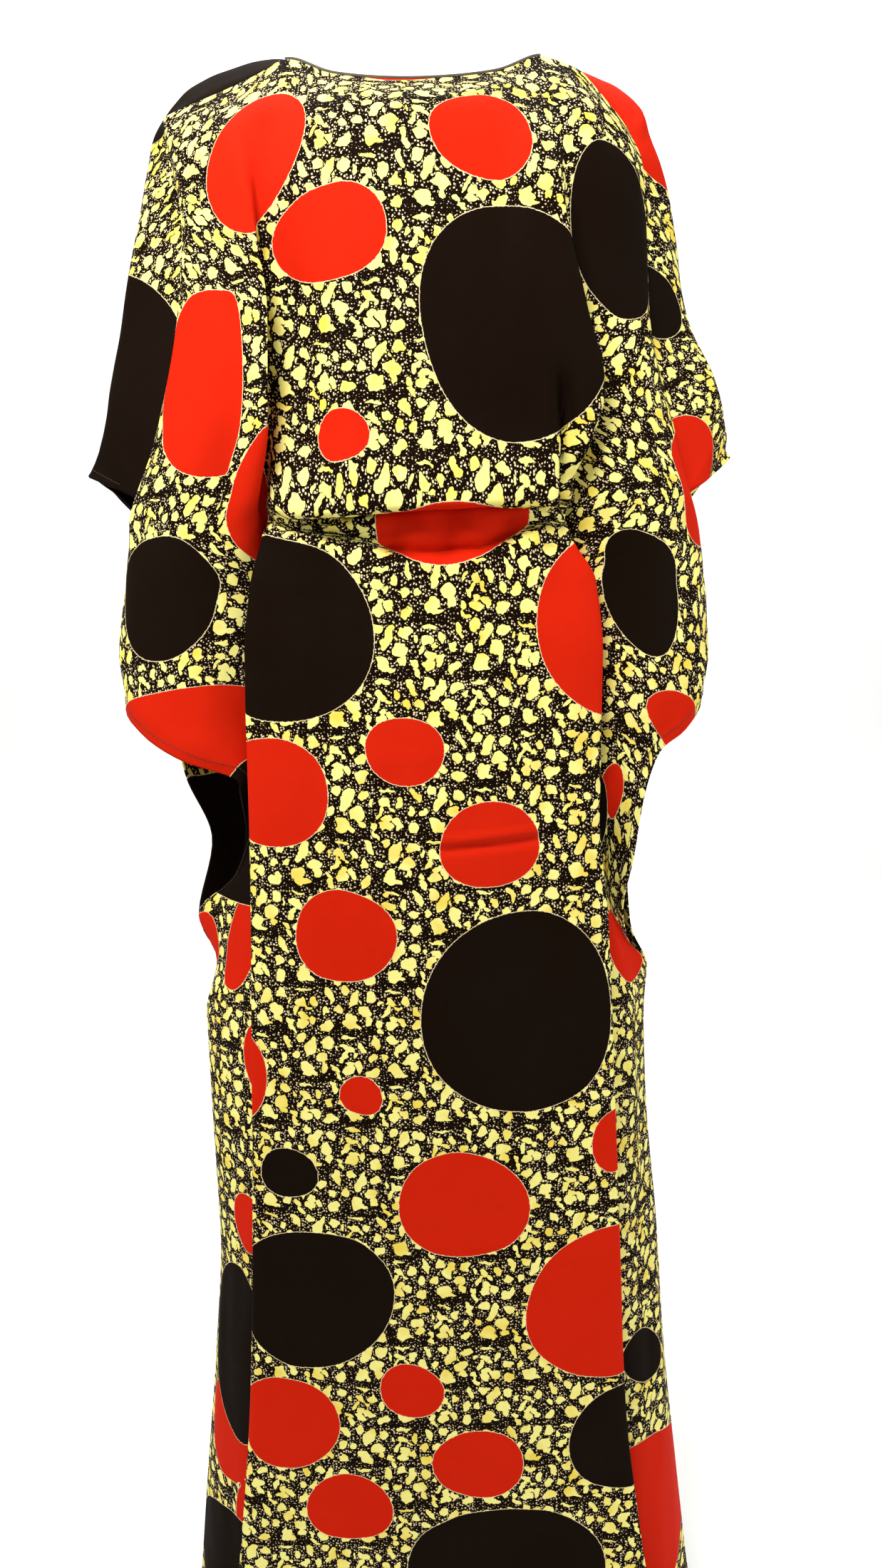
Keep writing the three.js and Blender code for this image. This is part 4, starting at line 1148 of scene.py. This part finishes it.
def stitch_tree(material):
    """Geometry nodes: even points along each line, one stitch on each, made real."""
    tree = bpy.data.node_groups.new("stitches", "GeometryNodeTree")
    given, made = stitch_sockets(tree)
    length = given["Stitch Length"]
    spacing = add_node(tree, "ShaderNodeMath", [(0, length), (1, given["Gap"])])
    sockets = [("Curve", given["Geometry"]), ("Length", spacing.outputs[0])]
    points = add_node(tree, "GeometryNodeCurveToPoints", sockets, mode="LENGTH").outputs
    sockets = [("Vertices", STITCH_SIDES), ("Radius", given["Radius"]), ("Depth", length)]
    thread = add_node(tree, "GeometryNodeMeshCylinder", sockets)
    along = [("Vector", points["Tangent"])]
    align = add_node(tree, "FunctionNodeAlignRotationToVector", along, axis="Z")
    least, most = STITCH_SCALES
    sockets = [("Min", least), ("Max", most), ("Seed", given["Seed"])]
    uneven = add_node(tree, "FunctionNodeRandomValue", sockets, data_type="FLOAT_VECTOR")
    sockets = [("Points", points["Points"]), ("Instance", thread.outputs["Mesh"]),
               ("Rotation", align.outputs["Rotation"]), ("Scale", uneven.outputs["Value"])]
    place = add_node(tree, "GeometryNodeInstanceOnPoints", sockets)
    sockets = [("Geometry", place.outputs["Instances"])]
    real = add_node(tree, "GeometryNodeRealizeInstances", sockets)
    sockets = [("Geometry", real.outputs["Geometry"]), ("Material", material)]
    coat = add_node(tree, "GeometryNodeSetMaterial", sockets)
    tree.links.new(coat.outputs["Geometry"], made["Geometry"])
    return tree


def thread_material():
    """Dull dark sewing thread with a twist."""
    n = Nodes("sewing_thread")
    place = n.add("ShaderNodeTexCoord").outputs["Object"]
    twist = n.add("ShaderNodeTexWave", [("Vector", place), ("Scale", 400.0)], bands_direction="DIAGONAL")
    colour = n.mix(twist.outputs["Fac"], THREAD_COLOUR, paler(THREAD_COLOUR, 2))
    n.tree.links.new(colour, n.shader.inputs["Base Color"])
    n.shader.inputs["Roughness"].default_value = 0.6
    return n.material


def sewn_rows(name, paths, material):
    """A mesh of stitches along the paths."""
    curve = bpy.data.curves.new(name, "CURVE")
    curve.dimensions = "3D"
    for path in paths:
        spline = curve.splines.new("POLY")
        spline.points.add(len(path) - 1)
        spline.points.foreach_set("co", np.c_[path, np.ones(len(path))].ravel())
    lines = put(f"{name}_lines", curve)
    modifier = lines.modifiers.new("stitches", "NODES")
    tree = stitch_tree(material)
    modifier.node_group = tree
    sizes = {"Stitch Length": STITCH_LENGTH * MM, "Gap": STITCH_GAP * MM,
             "Radius": STITCH_RADIUS * MM, "Seed": STITCH_SEED}
    for item in tree.interface.items_tree:
        if item.in_out == "INPUT" and item.name in sizes:
            modifier[item.identifier] = sizes[item.name]
    graph = bpy.context.evaluated_depsgraph_get()
    mesh = bpy.data.meshes.new_from_object(lines.evaluated_get(graph), depsgraph=graph)
    mesh.name = name
    bpy.data.objects.remove(lines)
    print(name, len(mesh.polygons), "faces")
    return put(name, mesh)


thread = thread_material()
front_stitches = sewn_rows("front_stitches", stitch_paths(front_grid, front_flat, FORWARD), thread)
back_stitches = sewn_rows("back_stitches", stitch_paths(back_grid, back_flat, BACKWARD), thread)

# %% [markdown]
# ## Cloth pieces
# Each piece rides on the root body, and for the panels and the binding the solid each stands for is
# hidden. The panels are cut wide at the top, across both sleeves, and narrower from the hips down.

pairs = ((front_piece, "front_panel", "printed_cotton"), (back_piece, "back_panel", "printed_cotton"),
         (binding, "neck_binding", "binding"))
for piece, node, finish in pairs:
    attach(piece, "root")
    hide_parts(node)
for piece in (front_stitches, back_stitches):
    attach(piece, "root")

# %% [markdown]
# ## Studio
# A plain pale sweep, floor and wall in one, and soft light. A lamp high in front lights the shoulders
# and the chest most, so the skirt falls off below. A weak one fills the front, one lamp at each side
# rakes over the sleeves, and one behind keeps the wall white. An even sky lifts what is left in shade.
# Soft light suits cloth: it shows folds by slow changes of shade and leaves no hard shadows.

# %% Sweep and lights
FLOOR_DROP = 1.54
SWEEP = [(-4.0, 0.0), (1.6, 0.0), (2.2, 0.18), (2.5, 0.6), (2.6, 1.4), (2.6, 4.5)]
SWEEP_HALF = 5.0
# Name, place, what it looks at, side (m), power (W).
LAMPS = [
    ("key", (-0.4, -1.0, 0.75), (0, 0, -0.2), 0.6, 28),
    ("fill", (0.9, -1.9, -0.2), (0, 0, -0.9), 1.4, 2),
    ("left", (-1.5, -0.6, 0.0), (-0.2, 0, -0.35), 0.6, 8),
    ("right", (1.5, -0.5, -0.2), (0.2, 0, -0.45), 0.6, 10),
    ("backdrop", (0, 0.9, 1.6), (0, 2.4, -0.6), 2.0, 75),
]
SKY = 0.22


def add_sweep():
    """Floor and wall in one curved sheet, a few centimetres under the hem."""
    points = [(side, y, z - FLOOR_DROP) for y, z in SWEEP for side in (-SWEEP_HALF, SWEEP_HALF)]
    faces = [(2 * i, 2 * i + 1, 2 * i + 3, 2 * i + 2) for i in range(len(SWEEP) - 1)]
    sweep = mesh_object("sweep", points, faces)
    n = Nodes("pale_paper")
    n.shader.inputs["Base Color"].default_value = (0.93, 0.93, 0.92, 1)
    n.shader.inputs["Roughness"].default_value = 0.95
    sweep.data.materials.append(n.material)


def add_lamp(name, place, aim, size, power):
    """A square soft lamp that looks at a point."""
    light = bpy.data.lights.new(name, "AREA")
    light.energy = power
    light.size = size
    lamp = put(name, light)
    forward = np.array(aim) - np.array(place)
    z = -forward / np.linalg.norm(forward)
    x = np.cross([0, 0, 1], z)
    x /= np.linalg.norm(x)
    turn = Matrix([[*row] for row in np.stack([x, np.cross(z, x), z], axis=1)]).to_4x4()
    lamp.matrix_world = Matrix.Translation(place) @ turn


def add_sky(strength):
    """An even white sky."""
    world = bpy.data.worlds.new("sky")
    world.use_nodes = True
    world.node_tree.nodes["Background"].inputs["Color"].default_value = (1, 1, 1, 1)
    world.node_tree.nodes["Background"].inputs["Strength"].default_value = strength
    bpy.context.scene.world = world


add_sweep()
for lamp in LAMPS:
    add_lamp(*lamp)
add_sky(SKY)
bpy.context.scene.view_settings.view_transform = "Standard"
